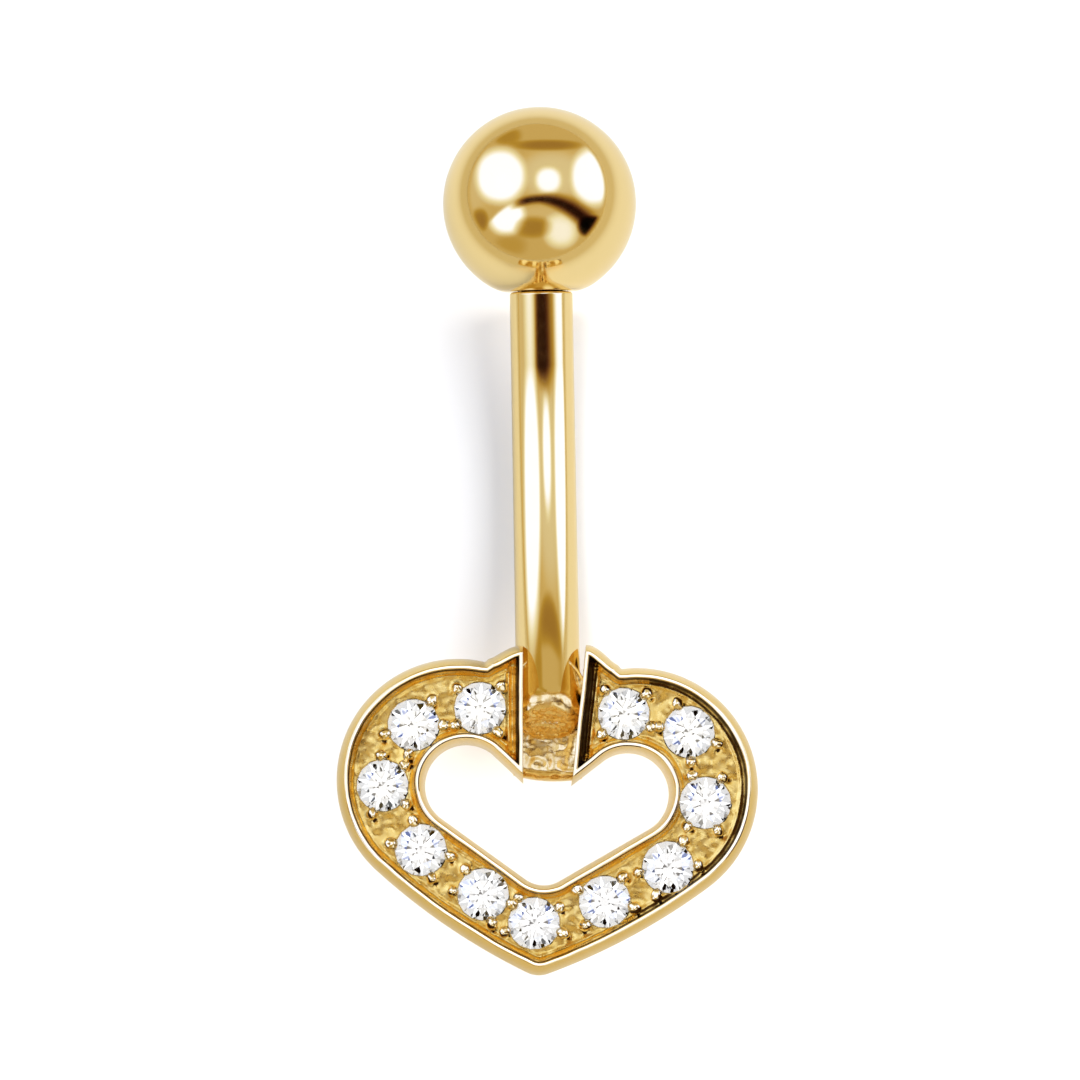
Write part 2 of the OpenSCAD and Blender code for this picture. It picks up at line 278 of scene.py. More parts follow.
class Material:
    """A surface material: a Principled shader whose inputs come from procedural nodes."""

    def __init__(self, name: str) -> None:
        """Make the material and its shader.

        Args:
            name: The material's name.
        """
        self.data = bpy.data.materials.new(name)
        self.data.use_nodes = True
        self.graph = Graph(self.data.node_tree)
        self.shader = self.data.node_tree.nodes["Principled BSDF"]
        self.place = self.graph.add("ShaderNodeTexCoord").outputs["Object"]

    def noise(self, per_mm: float, detail: float = 2.0, rough: float = 0.5) -> Socket:
        """Add a noise pattern.

        Args:
            per_mm: How many times it varies in a millimetre.
            detail: Its octaves.
            rough: How strong the finer octaves are.

        Returns:
            Its value, from 0 to 1.
        """
        inputs = {"Vector": self.place, "Scale": per_mm / MM, "Detail": detail, "Roughness": rough}
        return self.graph.add("ShaderNodeTexNoise", inputs).outputs["Fac"]

    def blend(self, amount: Socket, low: tuple, high: tuple) -> Socket:
        """Mix two colours and return the mix; amount 0 gives low and 1 gives high."""
        return self.graph.mix(amount, (*low, 1.0), (*high, 1.0))

    def bump(self, height: Socket, depth_mm: float, strength: float) -> None:
        """Roughen the surface.

        Args:
            height: The relief's pattern, from 0 to 1.
            depth_mm: The relief's depth.
            strength: Its strength.
        """
        inputs = {"Height": height, "Distance": depth_mm * MM, "Strength": strength}
        node = self.graph.add("ShaderNodeBump", inputs)
        self.graph.put(self.shader.inputs["Normal"], node.outputs["Normal"])


@dataclass(frozen=True)
class GoldFinish:
    """Yellow gold, polished or as cast.

    Attributes:
        name: The material's name.
        colour: The metal's colour.
        deep: Its colour where the alloy looks richer.
        roughness: The lowest and highest roughness.
        grain_per_mm: How fine its grain is.
        grain_mm: How deep the grain is.
        grain_strength: How strongly the grain shows.
    """

    name: str
    colour: tuple[float, float, float]
    deep: tuple[float, float, float]
    roughness: tuple[float, float]
    grain_per_mm: float
    grain_mm: float
    grain_strength: float

    def material(self) -> bpy.types.Material:
        """Build the finish.

        Returns:
            Its material.
        """
        made = Material(self.name)
        graph = made.graph
        shader = made.shader
        shader.inputs["Metallic"].default_value = 1.0
        cloud = made.noise(1.1, 3.0)
        graph.put(shader.inputs["Base Color"], made.blend(cloud, self.colour, self.deep))
        wear = made.noise(self.grain_per_mm / 3, 4.0, 0.6)
        graph.put(shader.inputs["Roughness"], graph.ramp(wear, 0.3, 0.75, *self.roughness))
        made.bump(made.noise(self.grain_per_mm, 3.0, 0.6), self.grain_mm, self.grain_strength)
        return made.data


@dataclass(frozen=True)
class StoneFinish:
    """A clear cut stone.

    Attributes:
        name: The material's name.
        tint: Its colour.
        shade: The faint colour of its cloudier parts.
        ior: Its refractive index.
    """

    name: str = "clear_brilliant"
    tint: tuple[float, float, float] = (1.0, 1.0, 1.0)
    shade: tuple[float, float, float] = (0.97, 0.975, 0.985)
    ior: float = 2.17

    def material(self) -> bpy.types.Material:
        """Build the finish.

        Returns:
            Its material.
        """
        made = Material(self.name)
        shader = made.shader
        shader.inputs["Transmission Weight"].default_value = 1.0
        shader.inputs["IOR"].default_value = self.ior
        colour = made.blend(made.noise(2.0), self.tint, self.shade)
        made.graph.put(shader.inputs["Base Color"], colour)
        haze = made.noise(6.0, 3.0)
        made.graph.put(shader.inputs["Roughness"], made.graph.ramp(haze, 0.5, 0.9, 0.0, 0.012))
        return made.data


POLISHED = GoldFinish(
    "polished_gold", (0.93, 0.73, 0.35), (0.92, 0.71, 0.32), (0.07, 0.1), 9.0, 0.002, 0.03
)
WALL_GOLD = GoldFinish(
    "hand_finished_gold", (0.93, 0.70, 0.28), (0.88, 0.62, 0.18), (0.12, 0.22), 14.0, 0.006, 0.2
)
CAST_GOLD = GoldFinish(
    "cast_gold", (1.0, 0.71, 0.20), (0.97, 0.60, 0.10), (0.22, 0.40), 20.0, 0.010, 0.5
)
SOLDER_GOLD = GoldFinish(
    "solder_gold", (0.95, 0.76, 0.38), (0.92, 0.60, 0.16), (0.16, 0.34), 10.0, 0.010, 0.5
)
BEAD_GOLD = GoldFinish(
    "bead_gold", (0.97, 0.80, 0.44), (0.95, 0.72, 0.30), (0.05, 0.10), 20.0, 0.004, 0.10
)
# Near-black gold that paints shade: at the foot of the rims, in the pits beside the beads and on the
# rims' lower right edge along the opening.
PAINTED_SHADE_GOLD = GoldFinish(
    "painted_shade_gold", (0.075, 0.032, 0.008), (0.03, 0.011, 0.003), (0.35, 0.50), 20.0, 0.004, 0.3
)


def direction(degrees: float) -> Points:
    """Return the unit vector at an angle from the first axis."""
    return np.array([math.cos(math.radians(degrees)), math.sin(math.radians(degrees))])


def angle_of(vector: Points) -> float:
    """Return a plane vector's angle in degrees."""
    return math.degrees(math.atan2(vector[1], vector[0]))


def arc(centre: Points, radius: float, start: float, end: float, step: float) -> Points:
    """Lay points along an arc.

    Args:
        centre: The arc's centre.
        radius: Its radius.
        start: Its first direction in degrees.
        end: Its last direction in degrees.
        step: The distance from point to point.

    Returns:
        The points, both ends included.
    """
    length = abs(math.radians(end - start)) * radius
    angles = np.linspace(start, end, max(4, round(length / step)) + 1)
    return np.array([centre + radius * direction(a) for a in angles])


def across(a: Points, from_a: float, b: Points, from_b: float) -> Points:
    """Find the point at one distance from a and another from b, on the left of the way a to b.

    Args:
        a: The first centre.
        from_a: The distance from it.
        b: The second centre.
        from_b: The distance from it.

    Returns:
        The point.
    """
    gap = float(np.linalg.norm(b - a))
    along = (gap**2 + from_a**2 - from_b**2) / (2 * gap)
    way = (b - a) / gap
    return a + along * way + math.sqrt(from_a**2 - along**2) * np.array([way[1], -way[0]])


def straight(start: Points, end: Points, step: float) -> Points:
    """Return points about a step apart along a straight line.

    Args:
        start: Its first point.
        end: Its last point.
        step: The step.

    Returns:
        The points, both ends included.
    """
    count = max(2, round(float(np.linalg.norm(end - start)) / step))
    return start + np.linspace(0, 1, count + 1)[:, None] * (end - start)


def joined(*parts: Points) -> Points:
    """Join polylines end to end and drop doubled points.

    Args:
        *parts: The polylines.

    Returns:
        One polyline.
    """
    line = np.concatenate(parts)
    keep = np.ones(len(line), bool)
    keep[1:] = np.linalg.norm(np.diff(line, axis=0), axis=1) > 1e-6
    return line[keep]


def resampled(line: Points, count: int) -> Points:
    """Return count points evenly spaced along a polyline, both ends included.

    Args:
        line: The polyline.
        count: The number of points.

    Returns:
        The points.
    """
    lengths = np.concatenate([[0], np.cumsum(np.linalg.norm(np.diff(line, axis=0), axis=1))])
    at = np.linspace(0, lengths[-1], count)
    return np.stack([np.interp(at, lengths, line[:, k]) for k in range(line.shape[1])], axis=1)


def shifted(line: Points, distance: float) -> Points:
    """Return a polyline moved to its left by a distance.

    Args:
        line: The polyline.
        distance: The distance.

    Returns:
        The moved polyline.
    """
    way = np.gradient(line, axis=0)
    way /= np.linalg.norm(way, axis=1)[:, None]
    return line + distance * np.stack([-way[:, 1], way[:, 0]], axis=1)


def lengthened(line: Points, by: float) -> Points:
    """Return a polyline with a straight piece added at each end.

    Args:
        line: The polyline.
        by: The length of each straight piece.

    Returns:
        The longer polyline.
    """
    head = line[0] + (line[0] - line[1]) / np.linalg.norm(line[0] - line[1]) * by
    tail = line[-1] + (line[-1] - line[-2]) / np.linalg.norm(line[-1] - line[-2]) * by
    return np.concatenate([[head], line, [tail]])


def crossing(a: Points, b: Points, near: Points) -> tuple[float, float, Points]:
    """Find where two polylines cross.

    Args:
        a: The first polyline.
        b: The second.
        near: The crossing nearest to this point is taken.

    Returns:
        How far along a and b the crossing is, in segments, and the point.
    """
    da = np.diff(a, axis=0)[:, None, :]
    db = np.diff(b, axis=0)[None, :, :]
    gap = b[None, :-1, :] - a[:-1, None, :]
    turn = da[..., 0] * db[..., 1] - da[..., 1] * db[..., 0]
    turn[np.abs(turn) < 1e-12] = 1e-12
    s = (gap[..., 0] * db[..., 1] - gap[..., 1] * db[..., 0]) / turn
    t = (gap[..., 0] * da[..., 1] - gap[..., 1] * da[..., 0]) / turn
    hits = np.argwhere((s >= -1e-9) & (s <= 1 + 1e-9) & (t >= -1e-9) & (t <= 1 + 1e-9))
    places = np.array([a[i] + s[i, j] * da[i, 0] for i, j in hits])
    i, j = hits[np.argmin(np.linalg.norm(places - near, axis=1))]
    return i + s[i, j], j + t[i, j], a[i] + s[i, j] * da[i, 0]


def distances(points: Points, line: Points) -> Points:
    """Return each point's distance to an open polyline.

    Args:
        points: The points.
        line: The polyline.

    Returns:
        The distances.
    """
    start, way = line[:-1], np.diff(line, axis=0)
    lengths = (way**2).sum(axis=1)
    best = np.full(len(points), np.inf)
    for first in range(0, len(points), 2000):
        part = points[first : first + 2000, None, :] - start
        t = np.clip((part * way).sum(axis=2) / lengths, 0, 1)
        off = part - t[..., None] * way
        best[first : first + 2000] = np.sqrt((off**2).sum(axis=2).min(axis=1))
    return best


def smooth(value: Points) -> Points:
    """Return a smooth step of a value that is held between 0 and 1."""
    held = np.clip(value, 0, 1)
    return held * held * (3 - 2 * held)


def grain(points: Points, per_mm: float, seed: float) -> Points:
    """Return smooth noise at each of many points, from about -1 to 1.

    Args:
        points: The points, with two or three coordinates.
        per_mm: How many times the noise varies in a millimetre.
        seed: Where in the noise the pattern starts.

    Returns:
        One value a point.
    """
    height = np.full(len(points), seed) if points.shape[1] == 2 else points[:, 2] * per_mm + seed
    rows = np.column_stack([points[:, :2] * per_mm, height])
    return np.array([noise.noise(Vector(row)) for row in rows])


@dataclass(frozen=True)
class Octave:
    """One octave of a surface's unevenness.

    Attributes:
        depth: How deep it is.
        per_mm: How many times it varies in a millimetre.
        seed: Where in the noise it starts.
    """

    depth: float
    per_mm: float
    seed: float


def uneven(points: Points, octaves: tuple[Octave, ...]) -> Points:
    """Return a surface's unevenness at each of many points."""
    return sum(octave.depth * grain(points, octave.per_mm, octave.seed) for octave in octaves)


def hump(off: Points, width: float) -> Points:
    """Return a smooth hump, 1 where off is 0, that falls away over a width."""
    return np.exp(-((off / width) ** 2))


@dataclass(frozen=True)
class Placement:
    """Where the heart's and the bar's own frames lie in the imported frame.

    Attributes:
        heart: From the heart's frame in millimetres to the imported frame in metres.
        bar: The same from the bar's frame.
    """

    heart: Matrix
    bar: Matrix


@dataclass(frozen=True)
class RingSizes:
    """Sizes that more than one piece uses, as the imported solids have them.

    Attributes:
        ball_d: The ball's diameter.
        seat_gap: The gap between the ball's seat and the bar.
        bar_d: The bar's diameter.
        bar_straight: The length of its straight part.
        bend_r: The radius of its bend.
        bend_angle: The bend's angle in degrees.
        heart_w: The heart's width.
        heart_h: Its height from the tip to the top of its lobes.
        heart_t: Its thickness.
        heart_lean: Its turn to one side of the bar, in degrees.
        heart_tilt: Its tilt towards the camera, in degrees.
        heart_shift: How far it is shifted to the side of the bar's end.
        bar_end_drop: How far the bar's end lies below the top of the lobes.
        bar_end_depth: How far it lies below the rims.
        recess_depth: How far the floor lies below the rims.
        girdle_sink: How far the stones' girdles lie below the floor.
        stone_d: A stone's diameter.
        stone_gap: The gap round it.
        pin_l: The length of the threaded pin.
        pin_d: Its diameter.
        notch_w: The notch's width at the foot of its sides.
        notch_flare: How much wider it is at the top.
        seat_d: The diameter of the ball's flat seat.
    """

    ball_d: float = 5.0
    seat_gap: float = 0.02
    bar_d: float = 1.63
    bar_straight: float = 1.9
    bend_r: float = 12.0
    bend_angle: float = 42.5
    heart_w: float = 10.65
    heart_h: float = 7.93
    heart_t: float = 1.9
    heart_lean: float = 3.9
    heart_tilt: float = 4.6
    heart_shift: float = 0.11
    bar_end_drop: float = 0.49
    bar_end_depth: float = 1.26
    recess_depth: float = 0.4
    girdle_sink: float = 0.03
    stone_d: float = 1.3
    stone_gap: float = 0.02
    pin_l: float = 2.8
    pin_d: float = 1.2
    notch_w: float = 1.16
    notch_flare: float = 0.48
    seat_d: float = 2.1

    @property
    def seat_r(self) -> float:
        """Return the distance from the ball's centre to its flat seat."""
        return math.sqrt((self.ball_d / 2) ** 2 - (self.seat_d / 2) ** 2)

    @property
    def bar_end(self) -> Vector:
        """Return the centre of the bar's end, in the bar's frame.

        Returns:
            The centre of the end of its bend.
        """
        turn = math.radians(self.bend_angle)
        top = -self.seat_r - self.seat_gap - self.bar_straight
        return Vector((0, top - self.bend_r * math.sin(turn), self.bend_r * (1 - math.cos(turn))))

    @property
    def bar_end_v(self) -> float:
        """Return how high the bar's end lies above the heart's tip."""
        return self.heart_h - self.bar_end_drop

    def stone_place(self, row: tuple) -> Points:
        """Return a stone's centre in the heart's frame."""
        return np.array([row[0] * self.heart_w / 2, row[1] * self.heart_h])

    def placement(self, nodes: dict[str, bpy.types.Object]) -> Placement:
        """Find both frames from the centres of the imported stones.

        Args:
            nodes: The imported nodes.

        Returns:
            The placement.
        """
        known, found = [], []
        for number, row in enumerate(STONES, start=1):
            stone = nodes[f"stone_{number:02d}"].data
            corners = {tuple(round(x / MM, 4) for x in v.co) for v in stone.vertices}
            found.append(np.mean(list(corners), axis=0))
            known.append([*self.stone_place(row), 1.0])
        fit = np.linalg.lstsq(np.array(known), np.array(found), rcond=None)
        across_axis, up_axis, origin = fit[0]
        out_axis = np.cross(across_axis, up_axis)
        level = self.stone_level()
        heart = Matrix.Identity(4)
        for k, column in enumerate((across_axis, up_axis, out_axis)):
            heart.col[k] = (*(column * MM), 0.0)
        heart.col[3] = (*((origin - out_axis * level) * MM), 1.0)
        on_bar = (
            Matrix.Translation(self.bar_end)
            @ Matrix.Rotation(math.radians(-self.heart_lean), 4, "Z")
            @ Matrix.Rotation(math.radians(-self.heart_tilt), 4, "X")
            @ Matrix.Translation((self.heart_shift, -self.bar_end_v, self.bar_end_depth))
        )
        return Placement(heart, heart @ on_bar.inverted())

    def stone_level(self) -> float:
        """Return the height of a stone's mean corner in the heart's frame.

        Returns:
            The height.
        """
        rim, crown, pavilion = 0.015, 0.15, 0.43
        star = crown - (0.405 * math.cos(math.pi / 8) - 0.285) * crown / 0.215
        lower = (0.5 - 0.12 * math.cos(math.pi / 8)) * pavilion / 0.5
        total = 8 * (rim + crown) + 8 * (rim + star) + 8 * (-rim - lower) - rim - pavilion
        return total / 57 * self.stone_d - self.recess_depth - self.girdle_sink


def piece(
    name: str, mesh: bpy.types.Mesh, body: Body, *finishes: bpy.types.Material
) -> bpy.types.Object:
    """Make a finished gold piece of a mesh.

    Args:
        name: The piece's name.
        mesh: Its mesh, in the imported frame.
        body: The body that it rides on.
        *finishes: Its materials, in the order of the mesh's material indices.

    Returns:
        The piece.
    """
    indices = [face.material_index for face in mesh.polygons]
    mesh.materials.clear()
    for finish in finishes:
        mesh.materials.append(finish)
    mesh.polygons.foreach_set("material_index", indices)
    made = bpy.data.objects.new(name, mesh)
    bpy.context.scene.collection.objects.link(made)
    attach(made, body.value)
    log.info("%s: %d faces", name, len(mesh.polygons))
    return made


def mesh_of(
    name: str, points: Points, faces: list, place: Matrix, crease: float,
    finish: list[int] | None = None,
) -> bpy.types.Mesh:
    """Make a smooth-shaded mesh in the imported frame.

    Args:
        name: The mesh's name.
        points: Its points in millimetres.
        faces: Its faces.
        place: From the points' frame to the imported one.
        crease: The angle in degrees past which an edge is sharp.
        finish: The material index of each face.

    Returns:
        The mesh.
    """
    mesh = bpy.data.meshes.new(name)
    mesh.from_pydata([tuple(p) for p in points], [], faces)
    if finish:
        mesh.polygons.foreach_set("material_index", finish)
    mesh.validate()
    mesh.transform(place)
    mesh.shade_smooth()
    mesh.set_sharp_from_angle(angle=math.radians(crease))
    return mesh


def turned(profile: Points, count: int) -> tuple[Points, list]:
    """Turn a profile round the third axis.

    Args:
        profile: Rows of radius and height; a radius of 0 closes the shape.
        count: The number of steps round it.

    Returns:
        The points and faces, which point outwards where the profile goes up on the outside.
    """
    angles = np.linspace(0, 2 * math.pi, count, endpoint=False)
    points, rings = [], []
    for radius, height in profile:
        first = len(points)
        if radius < 1e-9:
            points.append((0, 0, height))
            rings.append([first] * count)
        else:
            points += [(radius * math.cos(a), radius * math.sin(a), height) for a in angles]
            rings.append(list(range(first, first + count)))
    faces = []
    for low, high in zip(rings, rings[1:]):
        for i in range(count):
            j = (i + 1) % count
            corners = dict.fromkeys((low[i], low[j], high[j], high[i]))
            if len(corners) > 2:
                faces.append(tuple(corners))
    return np.array(points), faces


@dataclass(frozen=True)
class Row:
    """One loop of points round the heart's band.

    Attributes:
        outer: How far the outer edge moves in.
        opening: How far the opening's edge moves away from the opening.
        notch: How far the notch's sides move away from the notch.
        height: The loop's height, 0 at the rims.
        waver: The share of the hand-finished edge's waver.
    """

    outer: float
    opening: float
    notch: float
    height: float
    waver: float

    def inset(self, side: Side) -> float:
        """Return how far one run of edge moves.

        Args:
            side: The run.

        Returns:
            The distance.
        """
        if side.is_notch:
            return self.notch
        return self.outer if side is Side.OUTER else self.opening


@dataclass
class HeartSetting:
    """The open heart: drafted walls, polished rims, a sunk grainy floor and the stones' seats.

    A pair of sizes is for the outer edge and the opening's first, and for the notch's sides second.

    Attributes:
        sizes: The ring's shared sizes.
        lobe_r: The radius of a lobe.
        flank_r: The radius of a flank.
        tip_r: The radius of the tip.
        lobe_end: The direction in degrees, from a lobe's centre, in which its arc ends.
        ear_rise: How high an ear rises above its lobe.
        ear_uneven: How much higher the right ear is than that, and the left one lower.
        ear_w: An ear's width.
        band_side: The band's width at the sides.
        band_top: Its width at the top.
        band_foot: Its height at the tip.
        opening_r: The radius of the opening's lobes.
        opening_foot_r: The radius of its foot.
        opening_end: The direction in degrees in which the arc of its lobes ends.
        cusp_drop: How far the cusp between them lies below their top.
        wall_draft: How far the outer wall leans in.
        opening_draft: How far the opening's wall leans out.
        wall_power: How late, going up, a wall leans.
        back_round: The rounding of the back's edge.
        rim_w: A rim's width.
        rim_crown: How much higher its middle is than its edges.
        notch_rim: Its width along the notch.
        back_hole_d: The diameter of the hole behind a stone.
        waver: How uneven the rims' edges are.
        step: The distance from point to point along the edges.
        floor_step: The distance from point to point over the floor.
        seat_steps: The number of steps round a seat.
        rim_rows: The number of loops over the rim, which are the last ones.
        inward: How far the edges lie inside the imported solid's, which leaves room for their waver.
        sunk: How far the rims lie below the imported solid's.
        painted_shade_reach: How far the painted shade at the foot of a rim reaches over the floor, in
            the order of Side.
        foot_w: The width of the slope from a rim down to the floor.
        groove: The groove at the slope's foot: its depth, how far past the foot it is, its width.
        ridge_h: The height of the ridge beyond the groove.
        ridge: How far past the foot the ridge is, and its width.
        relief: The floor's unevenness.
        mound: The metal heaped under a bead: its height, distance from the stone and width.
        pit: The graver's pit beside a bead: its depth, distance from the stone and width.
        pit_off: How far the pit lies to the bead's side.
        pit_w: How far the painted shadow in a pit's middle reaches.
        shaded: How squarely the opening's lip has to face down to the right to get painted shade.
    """

    sizes: RingSizes
    lobe_r: float = 3.07
    flank_r: float = 16.2
    tip_r: float = 0.69
    lobe_end: float = 100.0
    ear_rise: float = 0.46
    ear_uneven: float = 0.05
    ear_w: float = 1.0
    band_side: float = 2.24
    band_top: float = 2.15
    band_foot: float = 2.18
    opening_r: float = 1.04
    opening_foot_r: float = 0.78
    opening_end: float = 125.0
    cusp_drop: float = 1.42
    wall_draft: float = 0.21
    opening_draft: float = 0.12
    wall_power: float = 4.5
    back_round: float = 0.06
    rim_w: float = 0.1
    rim_crown: float = 0.02
    notch_rim: float = 0.1
    back_hole_d: float = 0.66
    waver: float = 0.016
    step: float = 0.05
    floor_step: float = 0.04
    seat_steps: int = 64
    rim_rows: int = 7
    inward: float = 0.01
    sunk: float = 0.006
    painted_shade_reach: tuple[float, ...] = (0.026, 0.17, 0.02, 0.085)
    foot_w: tuple[float, float] = (0.05, 0.16)
    groove: tuple[float, float, float] = (0.05, 0.01, 0.03)
    ridge_h: tuple[float, float] = (0.05, 0.13)
    ridge: tuple[float, float] = (0.1, 0.05)
    relief: tuple[Octave, ...] = (Octave(0.040, 2.2, 1.0), Octave(0.024, 5.5, 9.0))
    mound: tuple[float, float, float] = (0.07, 0.14, 0.13)
    pit: tuple[float, float, float] = (0.08, 0.13, 0.08)
    pit_off: float = 0.155
    pit_w: float = 0.055
    shaded: float = 0.55

    @property
    def cusp_v(self) -> float:
        """Return the height of the cusp between the opening's lobes."""
        return self.sizes.heart_h - self.band_top - self.cusp_drop

    def notch_half(self, v: float) -> float:
        """Return half the notch's width at a height.

        Args:
            v: The height above the tip.

        Returns:
            Half the width.
        """
        s = self.sizes
        top = s.heart_h + 2 * self.ear_rise
        return s.notch_w / 2 + s.notch_flare / 2 * (v - self.cusp_v) / (top - self.cusp_v)

    def outer_run(self) -> Points:
        """Return the outer edge, from the left ear round the tip to the right ear.

        Returns:
            The points.
        """
        s = self.sizes
        lobe_c = np.array([s.heart_w / 2 - self.lobe_r, s.heart_h - self.lobe_r])
        flank_c = across(lobe_c, self.flank_r - self.lobe_r, np.zeros(2), self.flank_r)
        reach = math.sqrt((self.flank_r - self.tip_r) ** 2 - flank_c[0] ** 2)
        tip_c = np.array([0.0, flank_c[1] - reach])
        flank_end = angle_of(lobe_c - flank_c)
        tip_end = angle_of(tip_c - flank_c)
        body = joined(
            arc(tip_c, self.tip_r, -90, tip_end, self.step / 2),
            arc(flank_c, self.flank_r, tip_end, flank_end, self.step),
            arc(lobe_c, self.lobe_r, flank_end, self.lobe_end, self.step),
        )
        right, left = (joined(body, self.ear(body[-1], self.ear_rise + side * self.ear_uneven))
                       for side in (1, -1))
        return joined(left[::-1] * [-1, 1], right)

    def ear(self, start: Points, rise: float) -> Points:
        """Draw one ear.

        Args:
            start: Where the lobe ends.
            rise: How high the ear rises above the lobe.

        Returns:
            Points from the lobe to the notch.
        """
        s = self.sizes
        base = s.notch_w / 2 + s.notch_flare / 2
        spots = [[base + a * self.ear_w, s.heart_h + b * rise] for a, b in EAR[1:]]
        spots[-1][0] = self.notch_half(spots[-1][1])
        return curve_through(np.array([start, *spots]), direction(self.lobe_end + 90), self.step)

    def opening_run(self) -> Points:
        """Return the opening's edge, from the right side of the notch round to the left.

        Returns:
            The points.
        """
        s = self.sizes
        lobe_c = np.array([s.heart_w / 2 - self.band_side, s.heart_h - self.band_top])
        lobe_c -= self.opening_r
        foot = np.array([0.0, self.band_foot])
        cusp = np.array([0.0, self.cusp_v])
        spread = math.asin(self.opening_r / float(np.linalg.norm(lobe_c - foot)))
        lean = angle_of(lobe_c - foot) - math.degrees(spread)
        foot_rise = self.opening_foot_r / math.cos(math.radians(lean))
        foot_c = np.array([0.0, self.band_foot + foot_rise])
        end = lobe_c + self.opening_r * direction(self.opening_end)
        slope = (end[1] - cusp[1]) / end[0]
        widening = self.notch_half(cusp[1] + 1) - self.notch_half(cusp[1])
        spur_u = self.notch_half(cusp[1]) / (1 - widening * slope)
        spur = np.array([spur_u, cusp[1] + slope * spur_u])
        foot_arc = arc(foot_c, self.opening_foot_r, -90, lean - 90, self.step)
        lobe_arc = arc(lobe_c, self.opening_r, lean - 90, self.opening_end, self.step)
        flank, top = straight(foot_arc[-1], lobe_arc[0], self.step), straight(end, spur, self.step)
        half = joined(foot_arc, flank, lobe_arc, top)
        return joined(half[::-1], half * [-1, 1])

    def runs(self) -> list[Points]:
        """Return the four runs of edge, in the order of Side.

        Returns:
            The runs.
        """
        outer, opening = self.outer_run(), self.opening_run()
        right = straight(outer[-1], opening[0], self.step)
        left = straight(opening[-1], outer[0], self.step)
        return [outer, right, opening, left]

    def loop(self, runs: list[Points], row: Row) -> Points:
        """Move the runs inwards, trim them where they cross and join them.

        Args:
            runs: The runs of edge.
            row: How far each of them moves.

        Returns:
            One closed loop, with the same number of points whatever the row.
        """
        moved = [lengthened(shifted(run, row.inset(side)), 1.0) for side, run in zip(Side, runs)]
        starts, ends, corners = [0.0] * 4, [0.0] * 4, [np.zeros(2)] * 4
        for side in Side:
            after = (side.value + 1) % 4
            hit = crossing(moved[side.value], moved[after], runs[side.value][-1])
            ends[side.value], starts[after], corners[after] = hit
        closed = []
        for k, (line, run) in enumerate(zip(moved, runs)):
            inner = line[math.floor(starts[k]) + 1 : math.ceil(ends[k])]
            whole = joined(np.concatenate([[corners[k]], inner, [corners[(k + 1) % 4]]]))
            closed.append(resampled(whole, len(run))[:-1])
        return np.concatenate(closed)

    def rows(self) -> list[Row]:
        """Return the rows up the wall and over the rim.

        Returns:
            The rows.
        """
        t = self.sizes.heart_t
        low = self.back_round
        rows = []
        for a in np.radians([0, 30, 60]):
            inset = low * (1 - math.sin(a))
            rows.append(Row(self.inward + inset, inset, 0.0, -t + low * (1 - math.cos(a)), 0.0))
        for share in WALL_SHARES:
            lean = share**self.wall_power
            height = -t + (t - self.rim_crown - self.sunk) * share
            outer = self.inward + self.wall_draft * lean
            rows.append(Row(outer, self.opening_draft * lean, 0.0, height, lean))
        for share in RIM_SHARES:
            height = -self.sunk - self.rim_crown * abs(2 * share - 1) ** 5
            over = self.rim_w * share
            outer = self.inward + self.wall_draft + over
            rows.append(Row(outer, self.opening_draft + over, self.notch_rim * share, height, 1.0))
        return rows

    def wavered(self, loop: Points, height: float, amount: float) -> Points:
        """Return a loop as points in space, each moved a little as a hand-finished edge is.

        Args:
            loop: The loop.
            height: Its height.
            amount: How far a point moves at most.

        Returns:
            The points.
        """
        points = np.column_stack([loop, np.full(len(loop), height)])
        shift = np.stack([grain(points, 0.9, seed) for seed in (3.1, 17.7, 31.3)], axis=1)
        fine = np.stack([grain(points, 3.3, seed) for seed in (5.9, 11.4, 47.2)], axis=1)
        return points + amount * (shift + 0.35 * fine) * [1, 1, 0.5]

    def floor_height(self, points: Points, runs: list[Points]) -> Points:
        """Work out the height of the recess at each point.

        Args:
            points: Points inside the rims.
            runs: The rims' inner edges, in the order of Side.

        Returns:
            The heights.
        """
        depth = self.sizes.recess_depth
        fall = np.full(len(points), -np.inf)
        nearest = np.full(len(points), np.inf)
        for side, run in zip(Side, runs):
            away = distances(points, run)
            width = self.foot_w[side.is_notch]
            low_edge = -self.rim_crown - self.sunk
            wall = low_edge - (depth + low_edge) * smooth(away / width)
            deep, past, groove_w = self.groove
            groove = deep * hump(away - width - past, groove_w)
            past, ridge_w = self.ridge
            ridge = self.ridge_h[side.is_notch] * hump(away - width - past, ridge_w)
            fall = np.maximum(fall, wall - groove + ridge * smooth(away / width))
            nearest = np.minimum(nearest, away)
        return fall + self.floor_relief(points) * smooth((nearest - 0.03) / 0.12)

    def floor_relief(self, points: Points) -> Points:
        """Work out the floor's relief: its unevenness, the beads' mounds and the graver's pits.

        Args:
            points: Points inside the rims.

        Returns:
            How far each point lies above the plain floor.
        """
        relief = uneven(points, self.relief)
        for row in STONES:
            centre = self.sizes.stone_place(row)
            gap = np.linalg.norm(points - centre, axis=1) - self.sizes.stone_d / 2
            relief *= 0.45 + 0.55 * smooth(gap / 0.1)
            for angle in row[2]:
                height, away, width = self.mound
                bead = centre + (self.sizes.stone_d / 2 + away) * direction(angle)
                relief += height * hump(np.linalg.norm(points - bead, axis=1), width)
                pit = self.pit_place(centre, angle)
                relief -= self.pit[0] * hump(np.linalg.norm(points - pit, axis=1), self.pit[2])
        return relief

    def pit_place(self, centre: Points, angle: float) -> Points:
        """Find the middle of the pit that the graver left beside a bead, where the bead's painted
        shadow lies.

        Args:
            centre: The stone's centre.
            angle: The bead's direction from it, in degrees.

        Returns:
            The pit's middle. It lies mostly to the lower right, where shade falls, unevenly from bead
            to bead.
        """
        bead = centre + (self.sizes.stone_d / 2 + self.pit[1]) * direction(angle)
        return bead + self.pit_off * direction(-50 + 35 * math.sin(angle))

